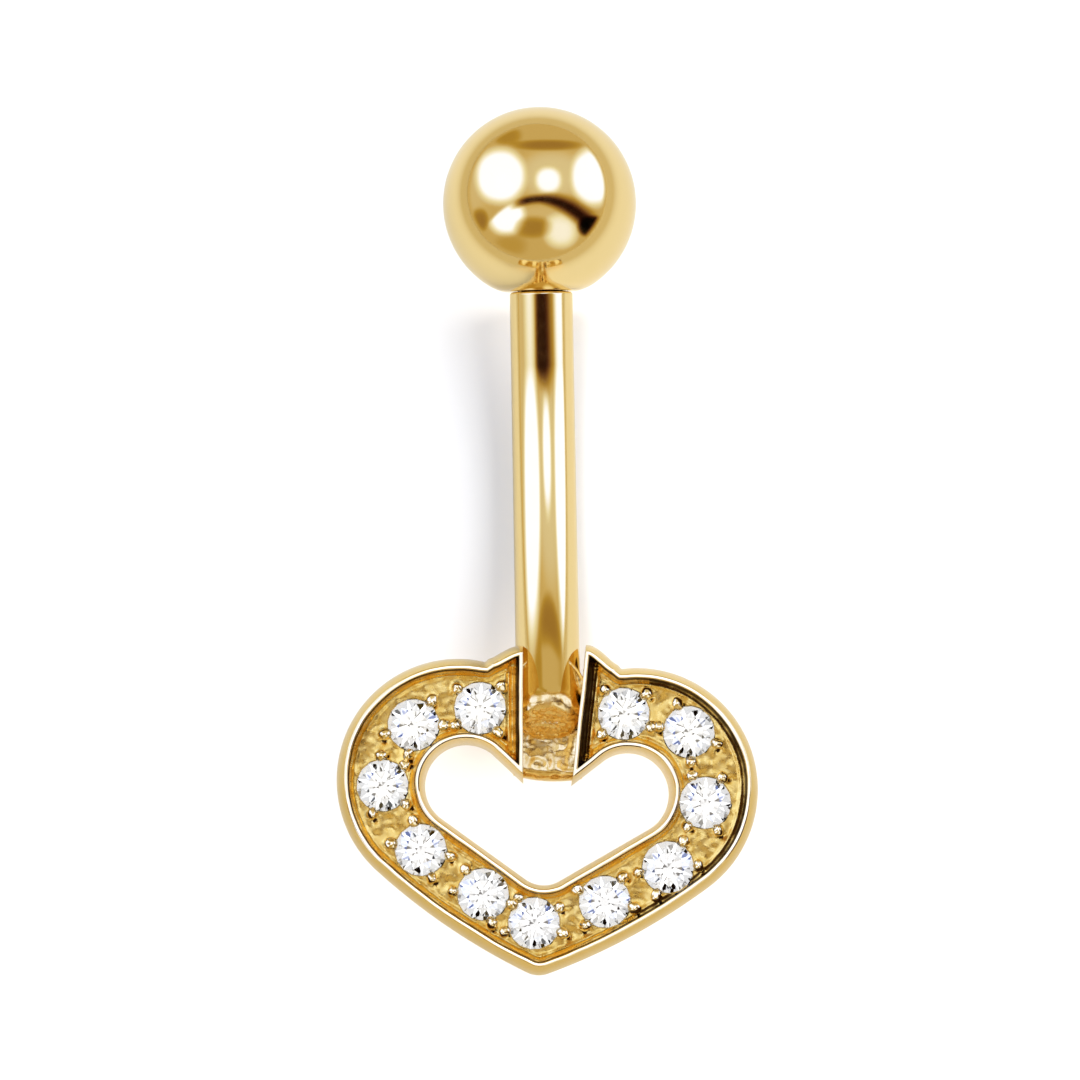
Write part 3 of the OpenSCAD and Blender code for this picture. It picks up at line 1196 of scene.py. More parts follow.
    def hidden(self, middles: Points, runs: list[Points]) -> Points:
        """Find the faces that get painted shade: at the foot of a rim, reaching further to the right
        along the outer edge, and in the middle of a pit.

        Args:
            middles: The middle of each face.
            runs: The rims' inner edges, in the order of Side.

        Returns:
            Whether each face gets the painted shade.
        """
        dark = np.zeros(len(middles), bool)
        for side, run in zip(Side, runs):
            # Painted shade along the rims' feet; on the outer edge it reaches further to the right.
            right = smooth(middles[:, 0] / 4) if side is Side.OUTER else 0
            dark |= distances(middles, run) < self.painted_shade_reach[side.value] * (1 + right)
        for row in STONES:
            centre = self.sizes.stone_place(row)
            near = np.linalg.norm(middles - centre, axis=1) < self.sizes.stone_d
            for angle in row[2]:
                # Painted shadow of each bead: the middle of its pit, to the lower right, gets the
                # near-black finish.
                off = np.linalg.norm(middles - self.pit_place(centre, angle), axis=1)
                dark |= near & (off < self.pit_w)
        return dark

    def floor_points(self, edge: Points, circles: list[Points]) -> Points:
        """Lay the floor's inner points: rows along the rims, rings round the seats and a grid.

        Args:
            edge: The closed inner edge of the rims.
            circles: The seats' edges.

        Returns:
            The points.
        """
        around = np.concatenate([edge, edge[:1]])
        kept = []
        for d in FLOOR_ROWS:
            ring = shifted(around, d)[:-1]
            kept.append(ring[distances(ring, around) > 0.98 * d])
        for row, circle in zip(STONES, circles):
            centre = self.sizes.stone_place(row)
            kept += [centre + (circle - centre) * (1 + grow) for grow in (0.03, 0.075)]
        low, high = edge.min(axis=0), edge.max(axis=0)
        us = np.arange(low[0], high[0], self.floor_step)
        vs = np.arange(low[1], high[1], self.floor_step)
        grid = np.stack(np.meshgrid(us, vs), axis=2).reshape(-1, 2)
        stray = np.stack([grain(grid, 31.0, seed) for seed in (2.0, 7.0)], axis=1)
        grid += 0.25 * self.floor_step * stray
        kept.append(grid[inside(grid, edge) & (distances(grid, around) > 0.33)])
        points = np.concatenate(kept)
        points = points[inside(points, edge) & (distances(points, around) > 0.009)]
        for row in STONES:
            gap = np.linalg.norm(points - self.sizes.stone_place(row), axis=1)
            points = points[gap > self.sizes.stone_d / 2 + self.sizes.stone_gap + 0.012]
        return thinned(points, 0.4 * self.floor_step)

    @cached_property
    def flat(self) -> list[Points]:
        """Work out the loops round the band, in the heart's plane."""
        runs = self.runs()
        return [self.loop(runs, row) for row in self.rows()]

    @cached_property
    def loops(self) -> list[Points]:
        """Work out the same loops in space, each with its waver."""
        return [
            self.wavered(loop, row.height, self.waver * row.waver)
            for loop, row in zip(self.flat, self.rows())
        ]

    def rims(
        self, place: Matrix, polished: bpy.types.Material, dark: bpy.types.Material
    ) -> bpy.types.Object:
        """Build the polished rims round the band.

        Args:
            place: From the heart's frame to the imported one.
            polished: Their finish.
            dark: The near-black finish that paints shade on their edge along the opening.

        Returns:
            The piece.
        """
        band = self.loops[-self.rim_rows :]
        count = len(band[0])
        faces = strips(0, len(band), count)
        way = np.roll(band[0], -1, axis=0) - np.roll(band[0], 1, axis=0)
        out = np.stack([way[:, 1], -way[:, 0]], axis=1)
        out /= np.linalg.norm(way[:, :2], axis=1)[:, None]
        shade = out @ direction(-42)
        lengths = [len(run) - 1 for run in self.runs()]
        first = sum(lengths[: Side.OPENING.value])
        shade[:first] = shade[first + lengths[Side.OPENING.value] :] = 0.0
        # Painted shade: the two strips of the rim along the opening that face down to the right get
        # the near-black finish.
        finish = [int(i // count < 2 and shade[i % count] > self.shaded) for i in range(len(faces))]
        mesh = mesh_of("heart_rims", np.concatenate(band), faces, place, 50, finish)
        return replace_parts(piece("heart_rims", mesh, Body.BARBELL, polished, dark), "heart_barbell")

    def build(self, place: Matrix, *finishes: bpy.types.Material) -> bpy.types.Object:
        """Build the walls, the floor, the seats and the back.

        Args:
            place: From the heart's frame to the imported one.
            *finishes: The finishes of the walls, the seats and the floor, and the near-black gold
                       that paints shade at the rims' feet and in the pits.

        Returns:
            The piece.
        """
        walls = self.loops[: 1 - self.rim_rows]
        count = len(walls[0])
        points = [p for loop in walls for p in loop]
        faces = strips(0, len(walls), count)
        finish = [0] * len(faces)
        top = len(points)
        points += list(self.loops[-1])
        edge = self.loops[-1][:, :2]
        closed = np.concatenate([edge, edge[:1]])
        lengths = np.cumsum([0] + [len(run) - 1 for run in self.runs()])
        rims = [closed[a : b + 1] for a, b in zip(lengths, lengths[1:])]
        centres = [self.sizes.stone_place(row) for row in STONES]
        circles = [self.circle(centre, self.seat_r) for centre in centres]
        for number, circle in enumerate(circles, start=1):
            gap = float(distances(circle, closed).min())
            log.info("seat %d clears the rims by %.3f mm", number, gap)
        inner = self.floor_points(edge, circles)
        seat_first = len(points)
        for line in (*circles, inner):
            points += [(*p, h) for p, h in zip(line, self.floor_height(line, rims))]
        index = list(range(top, top + count)) + list(range(seat_first, len(points)))
        laid = filled(edge, circles, inner)
        faces += [tuple(index[i] for i in face) for face in laid]
        spots = np.concatenate([edge, *circles, inner])
        middles = np.array([spots[list(face)].mean(axis=0) for face in laid])
        # Faces with index 3 get the near-black gold that paints shade; the rest are the cast floor.
        finish += [3 if dark else 2 for dark in self.hidden(middles, rims)]
        log.info("floor: %d points, %d faces", len(inner), len(laid))
        holes = []
        for k, centre in enumerate(centres):
            first = seat_first + k * self.seat_steps
            holes.append(self.seat(points, faces, centre, first))
        finish += [1] * (len(faces) - len(finish))
        back_circles = [self.circle(centre, self.back_hole_d / 2) for centre in centres]
        back = filled(self.flat[0], back_circles, np.zeros((0, 2)))
        back_index = list(range(count)) + [i for hole in holes for i in hole]
        faces += [tuple(back_index[i] for i in face[::-1]) for face in back]
        finish += [0] * len(back)
        spots = np.array([tuple(p) for p in points])
        mesh = mesh_of("heart_setting", spots, faces, place, 50, finish)
        made = piece("heart_setting", mesh, Body.BARBELL, *finishes)
        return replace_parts(made, "heart_barbell")

    @property
    def seat_r(self) -> float:
        """Return a seat's radius."""
        return self.sizes.stone_d / 2 + self.sizes.stone_gap

    def circle(self, centre: Points, radius: float) -> Points:
        """Return the points round a seat at a radius."""
        angles = np.arange(self.seat_steps) * 360 / self.seat_steps
        return centre + radius * np.array([direction(a) for a in angles])

    def seat(self, points: list, faces: list, centre: Points, first: int) -> list[int]:
        """Sink a seat and the hole behind it.

        Args:
            points: The setting's points, which it adds to.
            faces: The setting's faces, which it adds to.
            centre: The stone's centre.
            first: The index of the seat's first point on the floor.

        Returns:
            The indices of the hole's edge at the back.
        """
        s = self.sizes
        hole_r = self.back_hole_d / 2
        girdle = -s.recess_depth - s.girdle_sink - 0.015 * s.stone_d - s.stone_gap
        cone = girdle - (1 - hole_r / self.seat_r) * 0.43 * s.stone_d
        above = list(range(first, first + self.seat_steps))
        for radius, height in ((self.seat_r, girdle), (hole_r, cone), (hole_r, -s.heart_t)):
            below = list(range(len(points), len(points) + self.seat_steps))
            points += [(*p, height) for p in self.circle(centre, radius)]
            for i in range(self.seat_steps):
                j = (i + 1) % self.seat_steps
                faces.append((above[i], above[j], below[j], below[i]))
            above = below
        return above


def strips(first: int, rows: int, count: int) -> list[tuple[int, ...]]:
    """Return the faces between rows of points that each close on themselves.

    Args:
        first: The first point's index.
        rows: The number of rows.
        count: The number of points in each.

    Returns:
        The faces.
    """
    return [
        (first + k * count + i, first + k * count + (i + 1) % count,
         first + (k + 1) * count + (i + 1) % count, first + (k + 1) * count + i)
        for k in range(rows - 1)
        for i in range(count)
    ]


def curve_through(points: Points, first_way: Points, step: float) -> Points:
    """Draw a smooth curve through points.

    Args:
        points: The points, the last of which the curve meets level.
        first_way: The curve's direction at the first point.
        step: The distance from point to point.

    Returns:
        Points along the curve.
    """
    ways = np.gradient(points, axis=0)
    ways[0] = first_way * np.linalg.norm(points[1] - points[0])
    ways[-1] = np.array([points[-1][0] - points[-2][0], 0.0])
    parts = []
    for a, b, way_a, way_b in zip(points, points[1:], ways, ways[1:]):
        count = max(2, round(float(np.linalg.norm(b - a)) / step))
        t = np.linspace(0, 1, count + 1)[:, None]
        parts.append(
            (2 * t**3 - 3 * t**2 + 1) * a
            + (t**3 - 2 * t**2 + t) * way_a
            + (3 * t**2 - 2 * t**3) * b
            + (t**3 - t**2) * way_b
        )
    return joined(*parts)


def inside(points: Points, loop: Points) -> Points:
    """Return whether each point lies inside a closed loop.

    Args:
        points: The points.
        loop: The loop.

    Returns:
        One truth value a point.
    """
    result = np.zeros(len(points), bool)
    for a, b in zip(loop, np.roll(loop, -1, axis=0)):
        if a[1] == b[1]:
            continue
        spans = (a[1] > points[:, 1]) != (b[1] > points[:, 1])
        at = a[0] + (points[:, 1] - a[1]) * (b[0] - a[0]) / (b[1] - a[1])
        result ^= spans & (points[:, 0] < at)
    return result


def thinned(points: Points, gap: float) -> Points:
    """Drop points so that no two share one cell of a grid of that size.

    Args:
        points: The points.
        gap: The size of a cell.

    Returns:
        The points that stay.
    """
    cells = np.floor(points / gap).astype(np.int64)
    _, first = np.unique(cells, axis=0, return_index=True)
    return points[np.sort(first)]


def filled(edge: Points, circles: list[Points], inner: Points) -> list[tuple[int, ...]]:
    """Fill a loop with triangles, leaving round holes.

    Args:
        edge: The closed outer loop.
        circles: The holes' edges.
        inner: More points inside the loop and outside the holes.

    Returns:
        Triangles of indices into the edge, the circles and the inner points, in that order.
    """
    given = np.concatenate([edge, *circles, inner])
    sides, first = [], len(edge)
    owner = np.full(len(given), -1)
    for k, circle in enumerate(circles):
        size = len(circle)
        sides += [(first + i, first + (i + 1) % size) for i in range(size)]
        owner[first : first + size] = k
        first += size
    made = delaunay_2d_cdt([Vector(p) for p in given], sides, [list(range(len(edge)))], 1, 1e-7)
    origin = [old[0] if old else -1 for old in made[3]]
    faces = []
    for face in made[2]:
        corners = [origin[i] for i in face]
        owners = {owner[i] for i in corners}
        if min(corners) >= 0 and (len(owners) > 1 or owners == {-1}):
            faces.append(tuple(corners))
    return faces


@dataclass
class SettingBeads:
    """The small beads of metal that hold the stones.

    Attributes:
        sizes: The ring's shared sizes.
        bead_d: A bead's diameter.
        bead_out: How far its centre lies outside the stone's edge.
        bead_lift: How high its centre lies above the floor.
        dent: How uneven it is.
        seed: The seed of the beads' differences in size.
    """

    sizes: RingSizes
    bead_d: float = 0.32
    bead_out: float = 0.11
    bead_lift: float = 0.06
    dent: float = 0.09
    seed: int = 7

    def tree(self, finish: bpy.types.Material) -> ShapeTree:
        """Build the tree that puts a bead at each point.

        Args:
            finish: The beads' finish.

        Returns:
            The tree.
        """
        tree = ShapeTree("beads", {"Bead radius": self.bead_d / 2, "Dent": self.dent})
        graph, given = tree.graph, tree.given
        ball = {"Segments": 20, "Rings": 12, "Radius": given["Bead radius"]}
        bead = graph.add("GeometryNodeMeshUVSphere", ball)
        kind = {"data_type": "FLOAT_VECTOR"}
        aim = graph.add("GeometryNodeInputNamedAttribute", {"Name": "aim"}, **kind)
        turn = graph.add("FunctionNodeAlignRotationToVector", {"Vector": aim.outputs[0]}, axis="X")
        size = graph.add(
            "FunctionNodeRandomValue",
            {"Min": (0.85, 0.85, 0.8), "Max": (1.15, 1.1, 1.1), "Seed": self.seed},
            **kind,
        )
        spread = graph.add("GeometryNodeInstanceOnPoints", {
            "Points": given["Geometry"], "Instance": bead.outputs["Mesh"],
            "Rotation": turn.outputs[0], "Scale": size.outputs[0],
        })
        real = graph.add("GeometryNodeRealizeInstances", {0: spread.outputs[0]})
        where = graph.add("GeometryNodeInputPosition").outputs[0]
        bumps = graph.add("ShaderNodeTexNoise", {"Vector": where, "Scale": 7.0, "Detail": 1.0})
        push = graph.math("SUBTRACT", bumps.outputs[0], 0.5) * given["Dent"]
        shift = graph.vector("SCALE", graph.add("GeometryNodeInputNormal").outputs[0])
        graph.put(shift.inputs["Scale"], push)
        offset = {"Geometry": real.outputs[0], "Offset": shift.outputs[0]}
        tree.close(graph.add("GeometryNodeSetPosition", offset).outputs[0], finish)
        return tree

    def build(self, place: Matrix, finish: bpy.types.Material) -> bpy.types.Object:
        """Build the beads.

        Args:
            place: From the heart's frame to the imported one.
            finish: Their finish.

        Returns:
            The piece.
        """
        level = -self.sizes.recess_depth + self.bead_lift
        spots, aims = [], []
        for row in STONES:
            centre = self.sizes.stone_place(row)
            for angle in row[2]:
                away = direction(angle)
                spot = centre + (self.sizes.stone_d / 2 + self.bead_out) * away
                spots.append((*spot, level))
                aims.append((*(-away), -0.15))
        seeds = bpy.data.meshes.new("bead_spots")
        seeds.from_pydata(spots, [], [])
        aim = seeds.attributes.new("aim", "FLOAT_VECTOR", "POINT")
        aim.data.foreach_set("vector", np.array(aims).ravel())
        mesh = self.tree(finish).grown("setting_beads", seeds, place)
        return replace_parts(piece("setting_beads", mesh, Body.BARBELL, finish), "heart_barbell")


class ShapeTree:
    """A Geometry Nodes tree with named number inputs, which is run once."""

    def __init__(self, name: str, values: dict[str, float]) -> None:
        """Start the tree.

        Args:
            name: The tree's name.
            values: The names of its number inputs and what they are set to.
        """
        self.data = bpy.data.node_groups.new(name, "GeometryNodeTree")
        sockets = self.data.interface
        for way in ("INPUT", "OUTPUT"):
            sockets.new_socket(name="Geometry", in_out=way, socket_type="NodeSocketGeometry")
        self.values: dict[str, float] = {}
        for title, value in values.items():
            item = sockets.new_socket(name=title, in_out="INPUT", socket_type="NodeSocketFloat")
            item.default_value = value
            self.values[item.identifier] = value
        self.graph = Graph(self.data)
        start = self.graph.add("NodeGroupInput")
        self.given = {s.name: Number(self.graph, s) for s in start.outputs if s.name}

    def rod(self, around: int, rings: int) -> tuple[object, ...]:
        """Add a rod of radius 1 and length 1.

        Args:
            around: The number of steps round it.
            rings: The number of steps along it.

        Returns:
            The rod and its points' three coordinates.
        """
        sizes = {"Vertices": around, "Side Segments": rings, "Radius": 1.0, "Depth": 1.0}
        rod = self.graph.add("GeometryNodeMeshCylinder", sizes, fill_type="NGON")
        where = self.graph.add("GeometryNodeInputPosition").outputs[0]
        spot = self.graph.add("ShaderNodeSeparateXYZ", {0: where})
        return rod.outputs[0], *(Number(self.graph, socket) for socket in spot.outputs)

    def moved(self, shape: Socket, *place: Number) -> Socket:
        """Move a shape's points to new places and return it.

        Args:
            shape: The shape.
            *place: Its points' new coordinates.

        Returns:
            The moved shape.
        """
        spot = self.graph.add("ShaderNodeCombineXYZ", dict(enumerate(place))).outputs[0]
        inputs = {"Geometry": shape, "Position": spot}
        return self.graph.add("GeometryNodeSetPosition", inputs).outputs[0]

    def close(self, shape: Socket, finish: bpy.types.Material) -> None:
        """End the tree: shade its shape smooth, give it its finish and hand it out.

        Args:
            shape: The last shape.
            finish: Its material.
        """
        add = self.graph.add
        shaded = add("GeometryNodeSetShadeSmooth", {"Geometry": shape}).outputs[0]
        real = add("GeometryNodeRealizeInstances", {0: shaded}).outputs[0]
        dressed = add("GeometryNodeSetMaterial", {"Geometry": real, "Material": finish})
        add("NodeGroupOutput", {0: dressed.outputs[0]})

    def grown(self, name: str, seed: bpy.types.Mesh, place: Matrix) -> bpy.types.Mesh:
        """Run the tree and keep its result as a plain mesh.

        Args:
            name: The new mesh's name.
            seed: The mesh that the tree starts from.
            place: Where the result is carried to.

        Returns:
            The mesh.
        """
        host = bpy.data.objects.new(name + "_host", seed)
        bpy.context.scene.collection.objects.link(host)
        modifier = host.modifiers.new("shape", "NODES")
        modifier.node_group = self.data
        for key, value in self.values.items():
            modifier[key] = value
        depsgraph = bpy.context.evaluated_depsgraph_get()
        evaluated = host.evaluated_get(depsgraph)
        mesh = bpy.data.meshes.new_from_object(evaluated, depsgraph=depsgraph)
        host.modifiers.remove(modifier)
        bpy.data.objects.remove(host)
        mesh.name = name
        mesh.transform(place)
        return mesh


@dataclass
class CurvedBar:
    """The bar: straight under the ball, then bent, with a rounded shoulder and a soldered end.

    Attributes:
        sizes: The ring's shared sizes.
        shoulder: The rounding of the shoulder under the ball.
        end_share: The share of the rings that lie on the end.
        tail: How far the bar runs on, with its solder, past the end of its bend.
        end_round: The rounding of its end.
        solder_from: How far before its end the solder starts to cover it.
        solder_ease: Over what length the solder's lumps come up.
        solder_bare: How much of that length keeps the bar's own finish.
        lumps: The solder's lumps: how high they are, and how many there are in a millimetre.
        around: The number of steps round it.
        rings: The number of steps along it.
    """

    sizes: RingSizes
    shoulder: float = 0.06
    end_share: float = 0.14
    tail: float = 1.05
    end_round: float = 0.28
    solder_from: float = 0.25
    solder_ease: float = 0.3
    solder_bare: float = 0.2
    lumps: tuple[tuple[float, float], ...] = ((0.035, 3.1), (0.02, 7.7))
    around: int = 128
    rings: int = 260

    def tree(self, finish: bpy.types.Material) -> ShapeTree:
        """Build the tree that draws the bar out and bends it.

        Args:
            finish: The bar's finish.

        Returns:
            The tree.
        """
        s = self.sizes
        tree = ShapeTree("bent_bar", {
            "Radius": s.bar_d / 2, "Straight": s.bar_straight, "Bend radius": s.bend_r,
            "Bend": math.radians(s.bend_angle), "Shoulder": self.shoulder, "Tail": self.tail,
            "End rounding": self.end_round,
        })
        graph = tree.graph
        radius, straight_l, bend_r, bend, shoulder, tail, rounding = list(tree.given.values())[1:]
        rod, x, y, z = tree.rod(self.around, self.rings)
        share = graph.math("ADD", z, 0.5, clamp=True)
        body = 1 - self.end_share
        bend_l = bend_r * bend
        # Along the bar: where each ring lies, with more rings near the shoulder
        spaced = graph.math("POWER", graph.math("DIVIDE", share, body, clamp=True), 1.25)
        along = spaced * (straight_l + bend_l + tail)
        # Across it: the rounded corner of its end, which then closes, and its shoulder
        turn = graph.math("DIVIDE", share - body, self.end_share, clamp=True) * 2.0
        corner = graph.math("MINIMUM", turn, 1.0) * (math.pi / 2)
        lost = (1.0 - graph.math("COSINE", corner)) * rounding
        closing = 1.0 - graph.math("SUBTRACT", turn, 1.0, clamp=True)
        near = 1.0 - graph.math("DIVIDE", along, shoulder, clamp=True)
        width = (radius - lost) * closing - near * near * shoulder
        # Down the straight part, round the bend and straight on
        bent = graph.math("MAXIMUM", along - straight_l, 0.0)
        angle = graph.math("MINIMUM", bent / bend_r, bend)
        reach = graph.math("SINE", corner) * rounding + graph.math("MAXIMUM", bent - bend_l, 0.0)
        sine, cosine = graph.math("SINE", angle), graph.math("COSINE", angle)
        drop = graph.math("MINIMUM", along, straight_l) + sine * bend_r + cosine * reach
        rise = (1.0 - cosine) * bend_r + sine * reach
        side = y * width
        moved = tree.moved(rod, x * width, side * sine - drop, side * cosine + rise)
        merged = graph.add("GeometryNodeMergeByDistance", {"Geometry": moved, "Distance": 1e-4})
        tree.close(merged.outputs[0], finish)
        return tree

    def build(
        self, place: Matrix, finish: bpy.types.Material, solder: bpy.types.Material
    ) -> bpy.types.Object:
        """Build the bar.

        Args:
            place: From the bar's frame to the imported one.
            finish: Its finish.
            solder: The finish of its end.

        Returns:
            The piece.
        """
        s = self.sizes
        top = Matrix.Translation((0, -s.seat_r - s.seat_gap, 0))
        mesh = self.tree(finish).grown("curved_bar", bpy.data.meshes.new("bar_seed"), top)
        turn = math.radians(s.bend_angle)
        way = Vector((0, -math.cos(turn), math.sin(turn)))
        lowest = way.dot(s.bar_end) + self.tail - self.solder_from
        for vertex in mesh.vertices:
            past = smooth((way.dot(vertex.co) - lowest) / self.solder_ease)
            if past > 0:
                lump = sum(high * noise.noise(vertex.co * per_mm) for high, per_mm in self.lumps)
                vertex.co += vertex.normal * float(past * lump)
        bare = lowest + self.solder_bare
        indices = [int(way.dot(face.center) > bare) for face in mesh.polygons]
        mesh.transform(place)
        made = piece("curved_bar", mesh, Body.BARBELL, finish, solder)
        mesh.polygons.foreach_set("material_index", indices)
        mesh.set_sharp_from_angle(angle=math.radians(60))
        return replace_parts(made, "heart_barbell")


@dataclass
class ThreadedPin:
    """The threaded pin that the ball screws onto.

    Attributes:
        sizes: The ring's shared sizes.
        pitch: The distance from one turn of the thread to the next.
        depth: The thread's depth.
        start: How far the pin runs down into the shoulder.
        around: The number of steps round it.
        rings: The number of steps along it.
    """

    sizes: RingSizes
    pitch: float = 0.25
    depth: float = 0.08
    start: float = 0.1
    around: int = 72
    rings: int = 220

    def tree(self, finish: bpy.types.Material) -> ShapeTree:
        """Build the tree that cuts a helical thread on a rod.

        Args:
            finish: The pin's finish.

        Returns:
            The tree.
        """
        tree = ShapeTree("thread", {
            "Length": self.sizes.pin_l + self.start, "Radius": self.sizes.pin_d / 2,
            "Pitch": self.pitch, "Depth": self.depth,
        })
        graph = tree.graph
        length, radius, pitch, depth = list(tree.given.values())[1:]
        rod, x, y, z = tree.rod(self.around, self.rings)
        along = (z + 0.5) * length
        phase = along / pitch - graph.math("ARCTAN2", y, x) / (2 * math.pi)
        part = graph.math("FRACT", phase + 8.0)
        peak = 1.0 - graph.math("ABSOLUTE", graph.math("MULTIPLY_ADD", part, 2.0, -1.0))
        # The thread runs out and the rod narrows over the last turn
        tail = graph.math("DIVIDE", length - along, pitch, clamp=True)
        ease = 1.0 - graph.math("MULTIPLY", tail, 2.0, clamp=True)
        width = radius - depth - ease * depth + peak * tail * depth
        tree.close(tree.moved(rod, x * width, along, y * width * -1.0), finish)
        return tree

    def build(self, place: Matrix, finish: bpy.types.Material) -> bpy.types.Object:
        """Build the pin.

        Args:
            place: From the bar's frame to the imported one.
            finish: Its finish.

        Returns:
            The piece.
        """
        s = self.sizes
        low = Matrix.Translation((0, -s.seat_r - s.seat_gap - self.start, 0))
        seed = bpy.data.meshes.new("pin_seed")
        mesh = self.tree(finish).grown("threaded_pin", seed, place @ low)
        mesh.set_sharp_from_angle(angle=math.radians(35))
        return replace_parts(piece("threaded_pin", mesh, Body.BARBELL, finish), "heart_barbell")


@dataclass
class ScrewBall:
    """The polished ball, with its flat seat and the blind hole for the pin.

    Attributes:
        sizes: The ring's shared sizes.
        clearance: The gap round the pin.
        edge: The rounding at the hole's edge.
        under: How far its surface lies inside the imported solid's.
        flat_r: The radius of the flat part of the seat.
        round_r: The radius at which the seat's rounding meets the ball.
        around: The number of steps round it.
        rings: The number of steps from the seat to the top.
    """

    sizes: RingSizes
    clearance: float = 0.03
    edge: float = 0.02
    under: float = 0.004
    flat_r: float = 0.87
    round_r: float = 1.32
    around: int = 192
    rings: int = 110

    def build(self, place: Matrix, finish: bpy.types.Material) -> bpy.types.Object:
        """Build the ball.

        Args:
            place: From the bar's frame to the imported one.
            finish: Its finish.

        Returns:
            The piece.
        """
        s = self.sizes
        radius = s.ball_d / 2 - self.under
        bore = s.pin_d / 2 + self.clearance
        deep = -s.seat_r - s.seat_gap + s.pin_l + self.clearance
        seat = -s.seat_r
        low = -math.degrees(math.acos(self.round_r / radius))
        profile = [(0.0, deep), (bore, deep), (bore, seat + self.edge), (bore + self.edge, seat)]
        t = np.linspace(0, 1, 10)[:, None]
        start, end = np.array([self.flat_r, seat]), radius * direction(low)
        rounding = (1 - t) ** 2 * start + 2 * t * (1 - t) * [s.seat_d / 2, seat] + t**2 * end
        profile += [tuple(p) for p in rounding[:-1]]
        profile += [tuple(radius * direction(a)) for a in np.linspace(low, 90, self.rings)]
        profile[-1] = (0.0, radius)
        points, faces = turned(np.array(profile), self.around)
        upright = Matrix.Rotation(math.radians(-90), 4, "X")
        mesh = mesh_of("screw_ball", points, faces, place @ upright, 30)
        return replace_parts(piece("screw_ball", mesh, Body.BALL, finish), "ball")


@dataclass
class BridgeAndCup:
    """The cast plate between the lobes and the cup that the bar's end is soldered into.

    Attributes:
        sizes: The ring's shared sizes.
        height: The plate's height.
        depth: The depth of its face below the rims.
        rounding: The rounding of its lower edge.
        bow: How far its lower edge hangs down in the middle.
        cup_d: The cup's outer diameter.
        cup_rise: How far the cup stands out of the plate.
        cup_drop: How far its centre lies below the bar's end.
        cup_edge: The rounding of its edge.
        heel: The rounding of the plate's hidden back edge.
        columns: The number of columns of points across the plate.
        lumps: The plate's unevenness.
        cup_lumps: The cup's unevenness.
        lip: The raised line along the lower edge: its height, place above the edge and width.
    """

    sizes: RingSizes
    height: float = 2.37
    depth: float = 1.1
    rounding: float = 0.25
    bow: float = 0.1
    cup_d: float = 1.95
    cup_rise: float = 0.25
    cup_drop: float = 0.28
    cup_edge: float = 0.06
    heel: float = 0.08
    columns: int = 45
    lumps: tuple[Octave, ...] = (
        Octave(0.05, 2.6, 4.0), Octave(0.035, 6.0, 12.0), Octave(0.01, 13.0, 3.0)
    )
    cup_lumps: tuple[Octave, ...] = (Octave(0.02, 4.0, 8.0), Octave(0.012, 10.0, 2.0))
    lip: tuple[float, float, float] = (0.03, 0.13, 0.07)

    def plate(self) -> tuple[Points, list]:
        """Return the plate's points and faces, in the heart's frame.

        Returns:
            The points and the faces.
        """
        s = self.sizes
        top, foot, back = s.bar_end_v, s.bar_end_v - self.height, -s.heart_t
        front = -self.depth
        corner = np.array([foot + self.rounding, front - self.rounding])
        heel = np.array([foot + self.heel, back + self.heel])
        section = joined(
            straight(np.array([top, front]), np.array([corner[0], front]), 0.035),
            arc(corner, self.rounding, 90, 180, 0.035),
            straight(np.array([foot, corner[1]]), np.array([foot, heel[1]]), 0.06),
            arc(heel, self.heel, 180, 270, 0.03),
            straight(np.array([heel[0], back]), np.array([top, back]), 0.3),
        )
        half = s.notch_w / 2 + s.notch_flare / 2 + 0.05
        us = np.linspace(-half, half, self.columns)
        lip_h, lip_v, lip_w = self.lip
        points = []
        for u in us:
            line = np.column_stack([np.full(len(section), u), section])
            low = smooth((foot + 0.9 - line[:, 1]) / 0.9)
            line[:, 1] -= self.bow * (1 - (u / half) ** 2) * low
            face = smooth((line[:, 2] + 1.5) / 0.35)
            lip = hump(line[:, 1] - foot - lip_v, lip_w)
            line[:, 2] += face * (uneven(line, self.lumps) * (1 - 0.8 * lip) + lip_h * lip)
            points.append(line)
        rows = len(section)
        faces = [
            (i * rows + k, i * rows + k + 1, (i + 1) * rows + k + 1, (i + 1) * rows + k)
            for i in range(len(us) - 1)
            for k in range(rows - 1)
        ]
        ends = [tuple(range(rows)), tuple(range((len(us) - 1) * rows, len(us) * rows))[::-1]]
        closing = [(i * rows + rows - 1, i * rows, (i + 1) * rows, (i + 1) * rows + rows - 1)
                   for i in range(len(us) - 1)]
        return np.concatenate(points), [face[::-1] for face in faces + ends + closing]

    def cup(self) -> tuple[Points, list]:
        """Return the cup's points and faces, in the heart's frame.

        Returns:
            The points and the faces.
        """
        s = self.sizes
        radius = self.cup_d / 2
        top = -self.depth + self.cup_rise
        corner = np.array([radius - self.cup_edge, top - self.cup_edge])
        floor = np.linspace([radius - self.cup_edge - 0.03, top - 0.035], [0.0, top - 0.035], 16)
        profile = np.concatenate([
            [[0.0, -s.heart_t + 0.02], [radius, -s.heart_t + 0.02]],
            arc(corner, self.cup_edge, 0, 90, 0.012),
            floor,
        ])
        points, faces = turned(profile, 160)
        points[:, 2] += uneven(points, self.cup_lumps) * smooth((points[:, 2] + 1.2) / 0.2)
        centre = np.array([-s.heart_shift, s.bar_end_v - self.cup_drop, 0.0])
        return points + centre, faces

    def build(self, place: Matrix, finish: bpy.types.Material) -> bpy.types.Object:
        """Build the plate and the cup as one piece.

        Args:
            place: From the heart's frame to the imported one.
            finish: Their finish.

        Returns:
            The piece.
        """
        plate, plate_faces = self.plate()
        cup, cup_faces = self.cup()
        first = len(plate)
        faces = plate_faces + [tuple(first + i for i in face) for face in cup_faces]
        mesh = mesh_of("bridge_and_cup", np.concatenate([plate, cup]), faces, place, 50)
        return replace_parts(piece("bridge_and_cup", mesh, Body.BARBELL, finish), "heart_barbell")


# How square a patch is: 2 gives an ellipse, and more than 2 fills its corners
PATCH_POWER = 2.2


